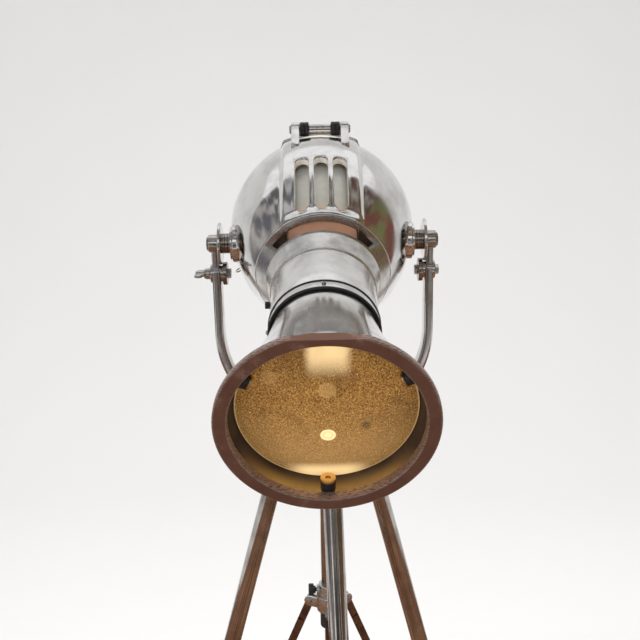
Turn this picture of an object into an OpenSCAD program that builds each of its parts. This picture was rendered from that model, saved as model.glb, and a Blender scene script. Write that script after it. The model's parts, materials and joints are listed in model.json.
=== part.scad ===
// Spotlight floor lamp: a polished cast profile spotlight with a flared lens
// hood, hung in a U-shaped fork on a folding tripod with a telescopic mast.
// Millimetres, +Z up, floor at Z = 0, beam towards -Y and 20 degrees down.

/* [Tripod] */
// Height of the leg hinge pins above the floor
hub_pin_h = 1165; // [1100:5:1250]
// Distance of the leg hinge pins from the mast's axis
hub_pin_reach = 78; // [74:1:84]
// Lean of each open leg from the vertical, degrees
leg_lean = 16.3; // [15:0.1:18]
// Turn of the tripod about the mast, against the head, degrees
tripod_turn = 5; // [0:1:10]
// Outer radius of the leg tubes
leg_tube_r = 13.5; // [12.5:0.5:14.5]
// Wall of the leg tubes
leg_tube_wall = 1.6; // [1.2:0.1:2.4]
// Radius of the hub's barrel
hub_barrel_r = 25; // [23:1:30]
// Height of the hub's barrel above the hinge pins
hub_above = 42; // [38:1:50]
// Depth of the hub's barrel below the hinge pins
hub_below = 24; // [20:1:30]
// Thickness of each of the hub's six cheeks
cheek_t = 8; // [6:0.5:10]
// Radius of the rounded end of each cheek
cheek_r = 14; // [12:0.5:16]
// Thickness of the tongue on top of each leg
tongue_t = 12; // [10:0.5:14]
// Radius of the leg hinge pins
hub_pin_r = 4; // [3.5:0.25:5]
// Radius of the rubber feet
foot_r = 18; // [16.5:0.5:20]
// Depth of the flat worn into the bottom of each rubber foot
foot_flat = 3; // [2:0.5:5]
// Length of the rubber foot along its leg
foot_len = 52; // [45:1:60]

/* [Struts and spreader collar] */
// Distance along the leg from its hinge pin to the strut clip
clip_down = 940; // [900:5:980]
// Distance from the leg's axis to the strut's pin
clip_arm = 25; // [24:0.5:28]
// Height of the strut pins on the collar above the floor
collar_pin_h = 938; // [920:2:960]
// Distance of the strut pins on the collar from the mast's axis
collar_pin_reach = 32; // [30:0.5:36]
// Radius of the spreader collar's barrel
collar_r = 19; // [17.5:0.5:21]
// Height of the spreader collar
collar_h = 26; // [22:1:30]
// Radius of the strut pins
strut_pin_r = 3; // [2.5:0.25:3.5]
// Width of the flat strut bars
strut_w = 12; // [11.5:0.5:13]
// Thickness of the flat strut bars
strut_t = 4; // [3:0.5:5]
// Free travel of the clip's pin in the strut's slot, each way
strut_slot = 2.4; // [2.2:0.2:3]
// Play of the clip's pin across that slot
strut_play = 0.8; // [0.8:0.1:1]

/* [Column and mast] */
// Outer radius of the fixed column tube
column_r = 11.5; // [11:0.25:12.5]
// Radius of the sliding mast rod
mast_r = 7.5; // [7:0.25:8.5]
// Length of the mast rod that stands below the column tube
mast_tail = 170; // [120:5:200]
// Height of the bush on the lower end of the column tube
bush_h = 28; // [24:1:32]
// Radius of that bush
bush_r = 14; // [13.5:0.5:16]
// Radius of the mast's head
mast_head_r = 20; // [18:1:23]
// Length of the mast's head
mast_head_len = 24; // [20:1:30]
// Radius of the stud that the fork turns on
pan_stud_r = 6; // [5:0.5:7]

/* [Fork] */
// Height of the tilt axis above the outside of the fork's bend
yoke_drop = 266; // [258:1:280]
// Outer half width of the fork
yoke_half_w = 152.5; // [151.5:0.5:156]
// Thickness of the fork's arms at the top
arm_t = 11.5; // [10:0.5:12.5]
// Thickness of the fork at the bottom of its bend
bend_t = 14; // [12:0.5:17]
// Outer radius of the fork's two bends
bend_outer_r = 139.5; // [134:0.5:146]
// Depth of the fork's bar, front to back
yoke_depth = 26; // [22:1:32]
// Radius of the fork's two eyes
eye_r = 12.5; // [11.5:0.5:14]
// Radius of the fork's two clamp bosses
clamp_boss_r = 13; // [12:0.5:14]
// Distance of the clamp bolts below the tilt axis
clamp_drop = 42; // [40:0.5:46]
// Radius of the clamp bolts
clamp_bolt_r = 4; // [3.5:0.25:4.5]
// Radius of the clamp washers
clamp_washer_r = 16; // [15.5:0.5:18]
// Radius of the friction discs
disc_r = 29; // [28:0.5:30.5]
// Thickness of the friction discs
disc_t = 4; // [3:0.5:5]

/* [Head] */
// Angle of the head's axis below the horizontal, degrees
head_tilt = 20; // [10:1:30]
// Radius of the round lamp house
dome_r = 126.8; // [125:0.2:128]
// Distance of the lamp house's centre behind the tilt axis
dome_back = 33; // [30:1:36]
// Wall of the cast lamp house
shell_wall = 4; // [3:0.25:4.5]
// Distance of the joint between the two shells behind the tilt axis
split_back = 32; // [31:1:36]
// Lean of that joint from square, degrees
split_lean = 20; // [16:1:24]
// Distance from the tilt axis to the front edge of the front shell
gate_s = 87; // [84:1:90]
// Radius of the front shell at that edge
gate_r = 87.5; // [86:0.5:89]
// Bulge radius of the front shell's side
nose_curve_r = 248; // [230:1:300]
// Length of the gate collar
gate_len = 44; // [41:1:48]
// Outer radius of the neck tube
neck_r = 66; // [65:0.25:67]
// Wall of the neck tube
neck_wall = 3.4; // [3:0.1:3.8]
// Distance from the tilt axis to the front end of the neck tube
neck_end = 205; // [202:1:208]
// Radius of the trunnion journals
journal_r = 8; // [7:0.5:9]
// Radius of the trunnion's thick part
trunnion_r = 13.8; // [13:0.2:14.5]
// Radius of the trunnion bosses on the shell
boss_r = 27; // [25:0.5:28]

/* [Vent panel and hinge] */
// Width of the raised vent panel
panel_w = 108; // [104:1:112]
// Height of the vent panel above the shell
panel_h = 5; // [4:0.5:6]
// Height of the raised box on the rear dome
box_h = 8; // [7:0.5:9]
// Width of each vent slot
slot_w = 17.4; // [15:0.2:19]
// Spacing of the vent slots
slot_pitch = 24.7; // [23:0.1:27]
// Distance of the dome hinge behind the tilt axis
hinge_back = 80; // [78:1:83]
// Height of the dome hinge above the head's axis
hinge_up = 131; // [130:0.5:134]
// Radius of the hinge lugs
lug_r = 9.5; // [9:0.5:10]
// Width of each hinge lug
lug_w = 12; // [10:0.5:13]
// Radius of the hinge pin
hinge_pin_r = 4; // [3.5:0.25:4.5]
// Half the gap between the two middle hinge lugs
lug_inner = 15; // [13:0.5:17]

/* [Lens tube] */
// Distance from the tilt axis to the front face of the hood's rim
rim_s = 386; // [380:1:392]
// Outer radius of the rim
rim_r = 118.6; // [117:0.2:121]
// Width of the rim's flat front face
rim_lip = 15.6; // [14:0.2:17]
// Thickness of the rim, front to back
rim_t = 12; // [10:0.5:13]
// Depth of the flat on top of the rim
rim_flat = 7; // [5:0.5:8]
// Outer radius of the hood at its root
hood_root_r = 64; // [63.5:0.25:65]
// Wall of the hood
hood_wall = 3.5; // [3:0.25:4]
// Steepness of the hood's flare: 1 is a straight cone
hood_power = 1.49; // [1.4:0.01:1.6]
// Radius of the lens
lens_r = 97.7; // [96:0.1:98.5]
// Edge thickness of the lens
lens_edge_t = 4.5; // [4:0.5:5]
// Radius of the lens's curved front
lens_curve_r = 360; // [340:5:420]
// Radius of the three lens posts
post_r = 8.5; // [7.5:0.25:9]
// Distance from the head's axis to the top of the lens posts
post_top = 90; // [89:0.5:91.5]
// Travel of the lens tube when it is focused
focus_travel = 30; // [20:1:32]

/* [Clearances] */
// Running clearance of pins, shafts and sliding tubes, on the radius
run = 0.06; // [0.03:0.01:0.1]
// Gap between parts that move past each other
gap = 0.3; // [0.25:0.05:0.4]

/* [Hidden] */
$fn = 96;
BIG = 700;
// Where the turned shapes' seams lie, clear of the bosses and holes
seam_turn = 215;
pin_turn = 33;
LEGS = 3;

// Places of the tripod. The origin is on the floor, under the middle of the
// box round the three feet, and the mast stands off it.
leg_turns = [for (i = [0:LEGS - 1]) tripod_turn - 90 + i * 360 / LEGS];
foot_h = foot_r - foot_flat;
foot_reach = hub_pin_reach + (hub_pin_h - foot_h) * tan(leg_lean);
mast_x = -foot_reach * (max([for (a = leg_turns) cos(a)]) + min([for (a = leg_turns) cos(a)])) / 2;
mast_y = -foot_reach * (max([for (a = leg_turns) sin(a)]) + min([for (a = leg_turns) sin(a)])) / 2;
leg_len = (hub_pin_h - foot_h) / cos(leg_lean);
tube_start = cheek_r + 10;
head_len = 34;
hub_top = hub_pin_h + hub_above;
bore_gap = tongue_t / 2 + gap;

// Struts: from the collar's pins to the clips' pins
clip_r = hub_pin_reach + clip_down * sin(leg_lean) - clip_arm * cos(leg_lean);
clip_h = hub_pin_h - clip_down * cos(leg_lean) - clip_arm * sin(leg_lean);
strut_lean = atan2(clip_r - collar_pin_reach, collar_pin_h - clip_h);
strut_len = norm([clip_r - collar_pin_reach, collar_pin_h - clip_h]);
strut_end_r = strut_w / 2;
strut_gap = strut_t / 2 + gap;
ear_t = 4;
clip_h_half = 11;
clip_ear_r = 7;
collar_ear_r = 8;
collar_bottom = collar_pin_h - collar_ear_r;
collar_top = collar_bottom + collar_h;
collar_bore_r = column_r + run;
clamp_screw_h = collar_top + 7;
knob_turn = 180;

// Column and mast
bush_top = collar_bottom - gap;
column_bottom = bush_top - bush_h + 4;
mast_bottom = column_bottom - mast_tail;
mast_top = hub_top + gap;
mast_screw_h = hub_top - 17;
mast_screw_turn = leg_turns[1] + 180 / LEGS;
mast_screw_r = 4;
mast_head_top = mast_top + mast_head_len;
yoke_boss_r = mast_head_r;
yoke_boss_drop = 2.4;
tilt_h = mast_head_top + gap + yoke_boss_drop + yoke_drop;
nut_seat = tilt_h - yoke_drop + bend_t + 2;
pan_washer_t = 2.5;
pan_nut_h = 10;

// Fork
bend_inner_r = bend_outer_r - arm_t - 1;
bend_centre = yoke_drop - bend_outer_r;
bend_side = yoke_half_w - bend_outer_r;
bend_drop = yoke_drop - bend_t - bend_centre - bend_inner_r;
eye_in = yoke_half_w - 10;
eye_out = yoke_half_w + 4;
disc_out = eye_in - gap;
disc_in = disc_out - disc_t;
washer_t = 6;
washer_out = disc_in - gap;
washer_in = washer_out - washer_t;
clamp_head_t = 5;
wing_bolt = 20;

// Head, measured along its axis from the tilt axis, forwards
dome_s = -dome_back;
dome_at_tilt_r = sqrt(dome_r * dome_r - dome_back * dome_back);
gate_end = gate_s + gate_len;
neck_start = gate_end - 6;
neck_in_r = neck_r - neck_wall;
band_w = 11;
band_r = neck_r + 0.6;
band_seat = 0.4;
band_screw_r = 2.6;
band_screw_t = 2;
ring_r = 1.9;
band_start = neck_end + 2 * ring_r;
band_end = band_start + band_w;
hood_start = band_end + 2 * ring_r + gap;
hood_end = rim_s - rim_t;
sleeve_r = neck_in_r - run;
sleeve_wall = 2.2;
sleeve_start = gate_end + 8;
focus_s = 156;
focus_turn = 180;
focus_screw_r = 2.5;
boss_face = dome_at_tilt_r + 3.2;
lug_outer_x = lug_inner + lug_w + gap;
spacer_r = lug_r - 3;
split_gap = 0.6;
collar_flange = 9;
collar_wall = 6.5;
collar_lip = 1.2;
slot_floor = 46;
slot_start = gate_s + 1.5;
slot_end = gate_s + 17.5;
cap_end = slot_end + 2;
tray_s = 55;
tray_r = 29;
tray_t = 5;
tray_z = -113;
gland_s = 62;
// Turn of the pull ring about the beam's axis, from the right side downwards
ring_turn = 155;
ring_mid_r = 4;
ring_wire_r = 1.1;
lamp_s = -20;
lamp_r = 15;
reflector_r = 92;
baffle_drop = 11;
pillar_x = 37;

// Circle of radius nose_curve_r through the two ends of the front shell's side
chord = [gate_r - dome_at_tilt_r, gate_s];
chord_len = norm(chord);
chord_mid = [dome_at_tilt_r, 0] + chord / 2;
chord_out = [chord[1], -chord[0]] / chord_len;
nose_c = chord_mid - chord_out * sqrt(nose_curve_r * nose_curve_r - chord_len * chord_len / 4);
function nose_r_at(s, grow) =
    nose_c[0] + sqrt(pow(nose_curve_r + grow, 2) - pow(s - nose_c[1], 2));
function dome_r_at(s, grow) = sqrt(pow(dome_r + grow, 2) - pow(s - dome_s, 2));
// Radius of the hood's outside: a power curve from its root to its rim
function hood_r_at(s) = hood_root_r + (rim_r - hood_root_r)
    * pow((s - hood_start) / (rim_s - hood_start), hood_power);
// Height of the lens's curved front above its edge
function lens_rise_at(r) = sqrt(pow(lens_curve_r, 2) - r * r) - sqrt(pow(lens_curve_r, 2) - pow(lens_r, 2));
// Distance along the axis where the hood's inside just holds the lens
lens_s = hood_start + (rim_s - hood_start)
    * pow((lens_r + hood_wall + 0.2 - hood_root_r) / (rim_r - hood_root_r), 1 / hood_power);
lens_front = lens_s + lens_edge_t;
post_s = lens_front + lens_rise_at(post_top) + post_r + gap;
function arc_points(c, r, a0, a1, n) =
    [for (i = [0:n]) let (a = a0 + (a1 - a0) * i / n) c + r * [cos(a), sin(a)]];

// ---------------------------------------------------------------- frames
module at_mast() { translate([mast_x, mast_y, 0]) children(); }
// One leg's plane: X outwards from the mast, Z up
module at_leg(i) { at_mast() rotate([0, 0, leg_turns[i]]) children(); }
// A leg's own line: Z down its axis from the hinge pin, X towards the mast
module along_leg(i) {
    at_leg(i) translate([hub_pin_reach, 0, hub_pin_h]) rotate([0, 180 - leg_lean, 0]) children();
}
module at_head() { translate([mast_x, mast_y, tilt_h]) rotate([head_tilt, 0, 0]) children(); }
// Turns +Z to the beam's direction, so that lathe profiles are [radius, distance]
module beam() { at_head() rotate([90, 0, 0]) children(); }
module lathe(points) { beam() rotate([0, 0, seam_turn]) rotate_extrude() polygon(points); }
module tube(r_out, r_in, from, to) {
    translate([0, 0, from]) difference() {
        cylinder(r = r_out, h = to - from);
        translate([0, 0, -1]) cylinder(r = r_in, h = to - from + 2);
    }
}
// A pin along X, centred on the frame's origin
module cross_pin(r, len) {
    rotate([0, 90, 0]) rotate([0, 0, pin_turn]) cylinder(r = r, h = len, center = true);
}
// A pin along Y, centred on the frame's origin
module side_pin(r, len) { rotate([90, 0, 0]) cylinder(r = r, h = len, center = true); }
// The left side's copy and the right side's
module both_sides() { children(); mirror([1, 0, 0]) children(); }

// ---------------------------------------------------------------- tripod
module hub_cheek() {
    linear_extrude(cheek_t) union() {
        translate([hub_pin_reach, 0]) circle(cheek_r);
        translate([hub_barrel_r - 4, -cheek_r]) square([hub_pin_reach - hub_barrel_r + 4, 2 * cheek_r]);
    }
}
module tripod_hub() {
    color("dimgray") at_mast() difference() {
        union() {
            translate([0, 0, hub_pin_h - hub_below]) cylinder(r = hub_barrel_r, h = hub_below + hub_above);
            for (i = [0:LEGS - 1]) rotate([0, 0, leg_turns[i]]) translate([0, 0, hub_pin_h]) {
                translate([0, -bore_gap, 0]) rotate([90, 0, 0]) hub_cheek();
                translate([0, bore_gap + cheek_t, 0]) rotate([90, 0, 0]) hub_cheek();
            }
            translate([0, 0, mast_screw_h]) rotate([0, 0, mast_screw_turn]) rotate([0, 90, 0])
                cylinder(r = 11, h = hub_barrel_r + 7);
        }
        translate([0, 0, hub_pin_h - hub_below - 1]) cylinder(r = column_r, h = hub_below + hub_above + 2);
        for (i = [0:LEGS - 1]) rotate([0, 0, leg_turns[i]]) translate([hub_pin_reach, 0, hub_pin_h])
            side_pin(hub_pin_r + run, 4 * (cheek_t + tongue_t));
        translate([0, 0, mast_screw_h]) rotate([0, 0, mast_screw_turn]) rotate([0, 90, 0])
            cylinder(r = mast_screw_r + run, h = hub_barrel_r + 20);
    }
}
module hub_pins() {
    half = bore_gap + cheek_t;
    color("silver") for (i = [0:LEGS - 1]) at_leg(i) translate([hub_pin_reach, 0, hub_pin_h]) {
        side_pin(hub_pin_r, 2 * half);
        translate([0, half + 2.5, 0]) side_pin(hub_pin_r + 3.5, 5);
        translate([0, -half - 3, 0]) rotate([90, 0, 0])
            cylinder(r = hub_pin_r + 4, h = 6, center = true, $fn = 6);
    }
}
module column_tube() {
    color("silver") at_mast() difference() {
        tube(column_r, mast_r + run, column_bottom, hub_top - 2);
        translate([0, 0, mast_screw_h]) rotate([0, 0, mast_screw_turn]) rotate([0, 90, 0])
            cylinder(r = mast_screw_r + run, h = hub_barrel_r);
    }
}
module column_bush() {
    color("black") at_mast() difference() {
        translate([0, 0, bush_top - bush_h]) cylinder(r = bush_r, h = bush_h);
        translate([0, 0, column_bottom]) cylinder(r = column_r, h = bush_h);
        translate([0, 0, bush_top - bush_h - 1]) cylinder(r = mast_r + run, h = bush_h);
    }
}
// A fluted knob on a screw: Z runs out from the screw's tip
module knob(screw_r, screw_len, grip_r, grip_h) {
    cylinder(r = screw_r, h = screw_len);
    translate([0, 0, screw_len]) difference() {
        union() {
            cylinder(r = grip_r * 0.6, h = 3);
            translate([0, 0, 3]) cylinder(r = grip_r, h = grip_h - 3);
        }
        for (a = [0:60:359]) rotate([0, 0, a]) translate([grip_r * 1.25, 0, 3])
            cylinder(r = grip_r * 0.42, h = grip_h, $fn = 24);
    }
}
module mast_knob() {
    color("black") at_mast() translate([0, 0, mast_screw_h]) rotate([0, 0, mast_screw_turn])
        rotate([0, 90, 0]) translate([0, 0, mast_r + gap])
        knob(mast_screw_r, hub_barrel_r + 7 + 1 - mast_r, 19, 17);
}
module leg_tube(i) {
    color("silver") along_leg(i) tube(leg_tube_r, leg_tube_r - leg_tube_wall, tube_start, leg_len - 6);
}
module leg_head(i) {
    color("dimgray") along_leg(i) difference() {
        union() {
            rotate([90, 0, 0]) linear_extrude(tongue_t, center = true) union() {
                circle(cheek_r - 1);
                translate([1 - cheek_r, 0]) square([2 * cheek_r - 2, tube_start]);
            }
            translate([0, 0, tube_start - 4]) cylinder(r = leg_tube_r + 1.5, h = 4);
            translate([0, 0, tube_start - 4]) cylinder(r = leg_tube_r - leg_tube_wall, h = head_len);
        }
        side_pin(hub_pin_r + run, 2 * tongue_t);
    }
}
module foot(i) {
    color("black") difference() {
        along_leg(i) difference() {
            union() {
                translate([0, 0, leg_len + foot_r - foot_len]) cylinder(r = foot_r - 1.5, h = 8);
                translate([0, 0, leg_len + foot_r - foot_len + 4])
                    cylinder(r = foot_r, h = foot_len - foot_r - 4);
                translate([0, 0, leg_len]) sphere(foot_r);
            }
            translate([0, 0, leg_len - 6 - foot_len]) cylinder(r = leg_tube_r, h = foot_len);
        }
        translate([-BIG, -BIG, -BIG]) cube([2 * BIG, 2 * BIG, BIG]);
    }
}

// ---------------------------------------------------------------- struts and collar
module strut_clip(i) {
    color("silver") along_leg(i) translate([0, 0, clip_down]) {
        difference() {
            union() {
                translate([0, 0, -clip_h_half]) cylinder(r = leg_tube_r + 3, h = 2 * clip_h_half);
                for (side = [-1, 1]) translate([0, side * (strut_gap + ear_t / 2), 0]) rotate([90, 0, 0])
                    linear_extrude(ear_t, center = true) union() {
                        translate([clip_arm, 0]) circle(clip_ear_r);
                        translate([leg_tube_r, -clip_ear_r]) square([clip_arm - leg_tube_r, 2 * clip_ear_r]);
                    }
            }
            translate([0, 0, -clip_h_half - 1]) cylinder(r = leg_tube_r, h = 2 * clip_h_half + 2);
            translate([leg_tube_r - 2, -strut_gap, -clip_h_half - 1])
                cube([clip_arm, 2 * strut_gap, 2 * clip_h_half + 2]);
        }
        translate([clip_arm, 0, 0]) {
            side_pin(strut_pin_r, 2 * (strut_gap + ear_t) + 2);
            translate([0, strut_gap + ear_t + 1.5, 0]) side_pin(strut_pin_r + 2, 3);
            translate([0, -strut_gap - ear_t - 1.5, 0]) side_pin(strut_pin_r + 2, 3);
        }
    }
}
// A flat bar with a round hole for the collar's pin and a slot for the clip's
module strut(i) {
    color("saddlebrown") at_leg(i) translate([collar_pin_reach, 0, collar_pin_h])
        rotate([0, -strut_lean, 0]) rotate([90, 0, 0]) linear_extrude(strut_t, center = true)
        difference() {
            union() {
                circle(strut_end_r);
                translate([-strut_w / 2, -strut_len - strut_slot]) square([strut_w, strut_len + strut_slot]);
                translate([0, -strut_len - strut_slot]) circle(strut_end_r);
            }
            circle(strut_pin_r + run);
            translate([0, -strut_len - strut_slot]) circle(strut_pin_r + strut_play);
            translate([0, -strut_len + strut_slot]) circle(strut_pin_r + strut_play);
            translate([-strut_pin_r - strut_play, -strut_len - strut_slot])
                square([2 * (strut_pin_r + strut_play), 2 * strut_slot]);
        }
}
module spreader_collar() {
    color("gainsboro") at_mast() difference() {
        union() {
            translate([0, 0, collar_bottom]) cylinder(r = collar_r, h = collar_h);
            translate([0, 0, collar_top]) cylinder(r = collar_r - 3, h = 18);
            translate([0, 0, clamp_screw_h]) rotate([0, 0, knob_turn]) rotate([0, 90, 0])
                cylinder(r = 8, h = collar_r);
            for (i = [0:LEGS - 1], side = [-1, 1]) rotate([0, 0, leg_turns[i]])
                translate([0, side * (strut_gap + ear_t / 2), collar_pin_h]) rotate([90, 0, 0])
                linear_extrude(ear_t, center = true) union() {
                    translate([collar_pin_reach, 0]) circle(collar_ear_r);
                    translate([collar_r - 4, -collar_ear_r])
                        square([collar_pin_reach - collar_r + 4, 2 * collar_ear_r]);
                }
        }
        translate([0, 0, collar_bottom - 1]) cylinder(r = collar_bore_r, h = collar_h + 20);
        translate([0, 0, clamp_screw_h]) rotate([0, 0, knob_turn]) rotate([0, 90, 0])
            cylinder(r = strut_pin_r + run, h = collar_r + 2);
        for (i = [0:LEGS - 1]) rotate([0, 0, leg_turns[i]]) {
            translate([collar_pin_reach, 0, collar_pin_h]) side_pin(strut_pin_r, 4 * (strut_gap + ear_t));
            translate([collar_r - 1, -strut_gap, collar_bottom - 1])
                cube([collar_pin_reach, 2 * strut_gap, collar_h]);
        }
    }
}
module collar_pins() {
    half = strut_gap + ear_t;
    color("silver") for (i = [0:LEGS - 1]) at_leg(i) translate([collar_pin_reach, 0, collar_pin_h]) {
        side_pin(strut_pin_r, 2 * half);
        translate([0, half + 1.25, 0]) side_pin(strut_pin_r + 1.6, 2.5);
        translate([0, -half - 1.25, 0]) side_pin(strut_pin_r + 1.6, 2.5);
    }
}
module collar_knob() {
    color("black") at_mast() translate([0, 0, clamp_screw_h]) rotate([0, 0, knob_turn])
        rotate([0, 90, 0]) translate([0, 0, column_r + gap])
        knob(strut_pin_r, collar_r + 1 - column_r, 9.5, 11);
}

// ---------------------------------------------------------------- mast
module mast_rod() {
    color("dimgray") at_mast() translate([0, 0, mast_bottom])
        cylinder(r = mast_r, h = mast_top + 12 - mast_bottom);
}
module mast_head() {
    color("silver") at_mast() difference() {
        union() {
            translate([0, 0, mast_top]) cylinder(r = mast_head_r, h = mast_head_len);
            translate([0, 0, mast_head_top]) cylinder(r = pan_stud_r, h = nut_seat + pan_washer_t
                + pan_nut_h + 4 - mast_head_top);
        }
        translate([0, 0, mast_top - 1]) cylinder(r = mast_r, h = 13);
    }
}
module pan_nut() {
    color("silver") at_mast() translate([0, 0, nut_seat + gap]) difference() {
        union() {
            cylinder(r = pan_stud_r + 8, h = pan_washer_t);
            translate([0, 0, pan_washer_t]) cylinder(r = pan_stud_r + 5, h = pan_nut_h - gap, $fn = 6);
        }
        translate([0, 0, -1]) cylinder(r = pan_stud_r, h = pan_washer_t + pan_nut_h + 2);
    }
}

// ---------------------------------------------------------------- fork
// The bent bar seen from the front: two straight arms and two round bends
module fork_outline() {
    difference() {
        union() {
            for (side = [-1, 1]) translate([side * bend_side, -bend_centre]) circle(bend_outer_r);
            translate([-bend_side, -yoke_drop]) square([2 * bend_side, bend_outer_r]);
            translate([-yoke_half_w, -bend_centre]) square([2 * yoke_half_w, bend_centre - clamp_drop + 4]);
        }
        translate([-BIG / 2, 4 - clamp_drop]) square([BIG, BIG]);
        for (side = [-1, 1]) translate([side * bend_side, -bend_centre - bend_drop]) circle(bend_inner_r);
        translate([-bend_side, bend_t - yoke_drop]) square([2 * bend_side, bend_inner_r]);
        polygon([
            [-bend_inner_r - bend_side, -bend_centre - bend_drop],
            [bend_inner_r + bend_side, -bend_centre - bend_drop],
            [yoke_half_w - arm_t, 0], [arm_t - yoke_half_w, 0]
        ]);
    }
}
module fork() {
    color("silver") translate([mast_x, mast_y, tilt_h]) difference() {
        union() {
            rotate([90, 0, 0]) linear_extrude(yoke_depth, center = true) fork_outline();
            translate([0, 0, -yoke_drop - yoke_boss_drop])
                cylinder(r = yoke_boss_r, h = yoke_boss_drop + bend_t + 2);
            both_sides() {
                translate([eye_in, 0, 0]) rotate([0, 90, 0]) cylinder(r = eye_r, h = eye_out - eye_in);
                translate([eye_in, -8, -clamp_drop]) cube([eye_out - eye_in - 4, 16, clamp_drop]);
                translate([eye_in, 0, -clamp_drop]) rotate([0, 90, 0])
                    cylinder(r = clamp_boss_r, h = eye_out - eye_in - 1);
                translate([washer_out, 0, -clamp_drop]) rotate([0, 90, 0])
                    cylinder(r = clamp_drop - disc_r - 1.5, h = eye_in - washer_out + 1);
            }
        }
        both_sides() {
            translate([eye_in, 0, 0]) cross_pin(journal_r + run, 60);
            translate([eye_in, 0, -clamp_drop]) cross_pin(clamp_bolt_r, 60);
            rotate([0, 90, 0]) cylinder(r = disc_r + 1, h = disc_out + gap);
        }
        translate([0, 0, -yoke_drop]) cylinder(r = pan_stud_r + run, h = 60, center = true);
    }
}
module clamp_bolts() {
    color("silver") translate([mast_x, mast_y, tilt_h - clamp_drop]) {
        both_sides() translate([washer_in - clamp_head_t, 0, 0]) rotate([0, 90, 0])
            cylinder(r = clamp_bolt_r + 3, h = clamp_head_t, $fn = 6);
        translate([washer_in, 0, 0]) rotate([0, 90, 0])
            cylinder(r = clamp_bolt_r, h = eye_out - washer_in - 1);
        translate([eye_out - 1, 0, 0]) rotate([0, 90, 0]) cylinder(r = clamp_bolt_r + 3, h = 5, $fn = 6);
        translate([-eye_out - wing_bolt, 0, 0]) rotate([0, 90, 0])
            cylinder(r = clamp_bolt_r, h = eye_out + wing_bolt - washer_in);
    }
}
module clamp_washers() {
    color("dimgray") translate([mast_x, mast_y, tilt_h - clamp_drop]) both_sides()
        translate([washer_in, 0, 0]) rotate([0, 90, 0]) difference() {
            cylinder(r = clamp_washer_r, h = washer_t);
            translate([0, 0, -1]) cylinder(r = clamp_bolt_r, h = washer_t + 2);
        }
}
module clamp_wing_nut() {
    color("silver") translate([mast_x - eye_out + 1 - gap, mast_y, tilt_h - clamp_drop])
        rotate([0, -90, 0]) rotate([0, 0, 90]) difference() {
            union() {
                cylinder(r = 8, h = 9);
                for (a = [0, 180]) rotate([0, 0, a]) translate([0, 2, 0]) rotate([90, 0, 0])
                    linear_extrude(4) union() {
                        translate([15, 15]) circle(6);
                        polygon([[4, 1], [9, 9], [20, 11], [13, 20], [4, 9]]);
                    }
            }
            translate([0, 0, -1]) cylinder(r = clamp_bolt_r + run, h = 30);
        }
}

// ---------------------------------------------------------------- lamp house
// The lamp house filled in, grown outwards, from behind the joint to "front"
module house_fill(grow, front) {
    back = -dome_back - dome_r * 0.75;
    lathe(concat(
        [[0, back]],
        [for (i = [0:9]) let (s = back * (1 - i / 10)) [dome_r_at(s, grow), s]],
        [for (i = [0:8]) let (s = front * i / 8) [nose_r_at(s, grow), s]],
        [[0, front]]
    ));
}
// Everything behind the joint between the shells, or in front of it
module split_space(front, shift) {
    at_head() translate([0, split_back, 0]) rotate([-split_lean, 0, 0])
        translate([-BIG / 2, (front ? -BIG : 0) - shift, -BIG / 2]) cube([BIG, BIG, BIG]);
}
module slab(w) { at_head() translate([-w / 2, -BIG / 2, 0]) cube([w, BIG, BIG]); }
// Hinge lugs at +x and -x, with an arm to the place "root" = [forwards, up]
module hinge_lugs(x, root, root_h) {
    at_head() both_sides() translate([x, hinge_back, hinge_up]) rotate([90, 0, 90])
        linear_extrude(lug_w) difference() {
            union() {
                circle(lug_r);
                polygon([
                    [0, lug_r], [-root[0], root[1]], [-root[0], root[1] - root_h], [0, -lug_r]
                ]);
            }
            circle(hinge_pin_r + run);
        }
}
module hinge_relief(x0, x1) {
    at_head() both_sides() translate([x0, hinge_back, hinge_up]) rotate([0, 90, 0])
        cylinder(r = lug_r + gap + 0.4, h = x1 - x0);
}
module vent_slots(from, to) {
    at_head() translate([0, 0, slot_floor + 10]) linear_extrude(BIG) for (i = [-1:1])
        translate([i * slot_pitch, 0]) {
            translate([-slot_w / 2, slot_w / 2 - to]) square([slot_w, to - from - slot_w]);
            translate([0, -from - slot_w / 2]) circle(slot_w / 2);
            translate([0, slot_w / 2 - to]) circle(slot_w / 2);
        }
}
module front_shell() {
    color("silver") union() {
        difference() {
            union() {
                house_fill(0, gate_s);
                intersection() {
                    house_fill(panel_h, gate_s);
                    slab(panel_w);
                }
                at_head() cross_pin(boss_r, 2 * boss_face - 6);
                at_head() cross_pin(boss_r - 4, 2 * boss_face);
                at_head() translate([0, -tray_s, tray_z - 3]) cylinder(r = tray_r, h = 20);
            }
            house_fill(-shell_wall, gate_s - shell_wall);
            beam() cylinder(r = gate_r - collar_flange, h = BIG);
            split_space(false, 0);
            vent_slots(1, gate_s - 5);
            at_head() cross_pin(journal_r, BIG);
            hinge_relief(0, lug_outer_x);
            at_head() translate([0, -tray_s, tray_z - 40]) cylinder(r = tray_r - 6, h = 80);
        }
        hinge_lugs(lug_outer_x, [50, 0], 7);
    }
}
module heat_baffle() {
    color("gainsboro") intersection() {
        difference() {
            union() {
                house_fill(-baffle_drop, gate_s - 8);
                intersection() {
                    house_fill(-shell_wall, gate_s - shell_wall);
                    at_head() for (side = [-1, 1], s = [18, 64])
                        translate([side * pillar_x, -s, 0]) cylinder(r = 3, h = BIG);
                }
            }
            house_fill(-baffle_drop - 1.5, gate_s);
        }
        slab(panel_w - 20);
        beam() cylinder(r = BIG, h = gate_s);
    }
}
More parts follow.
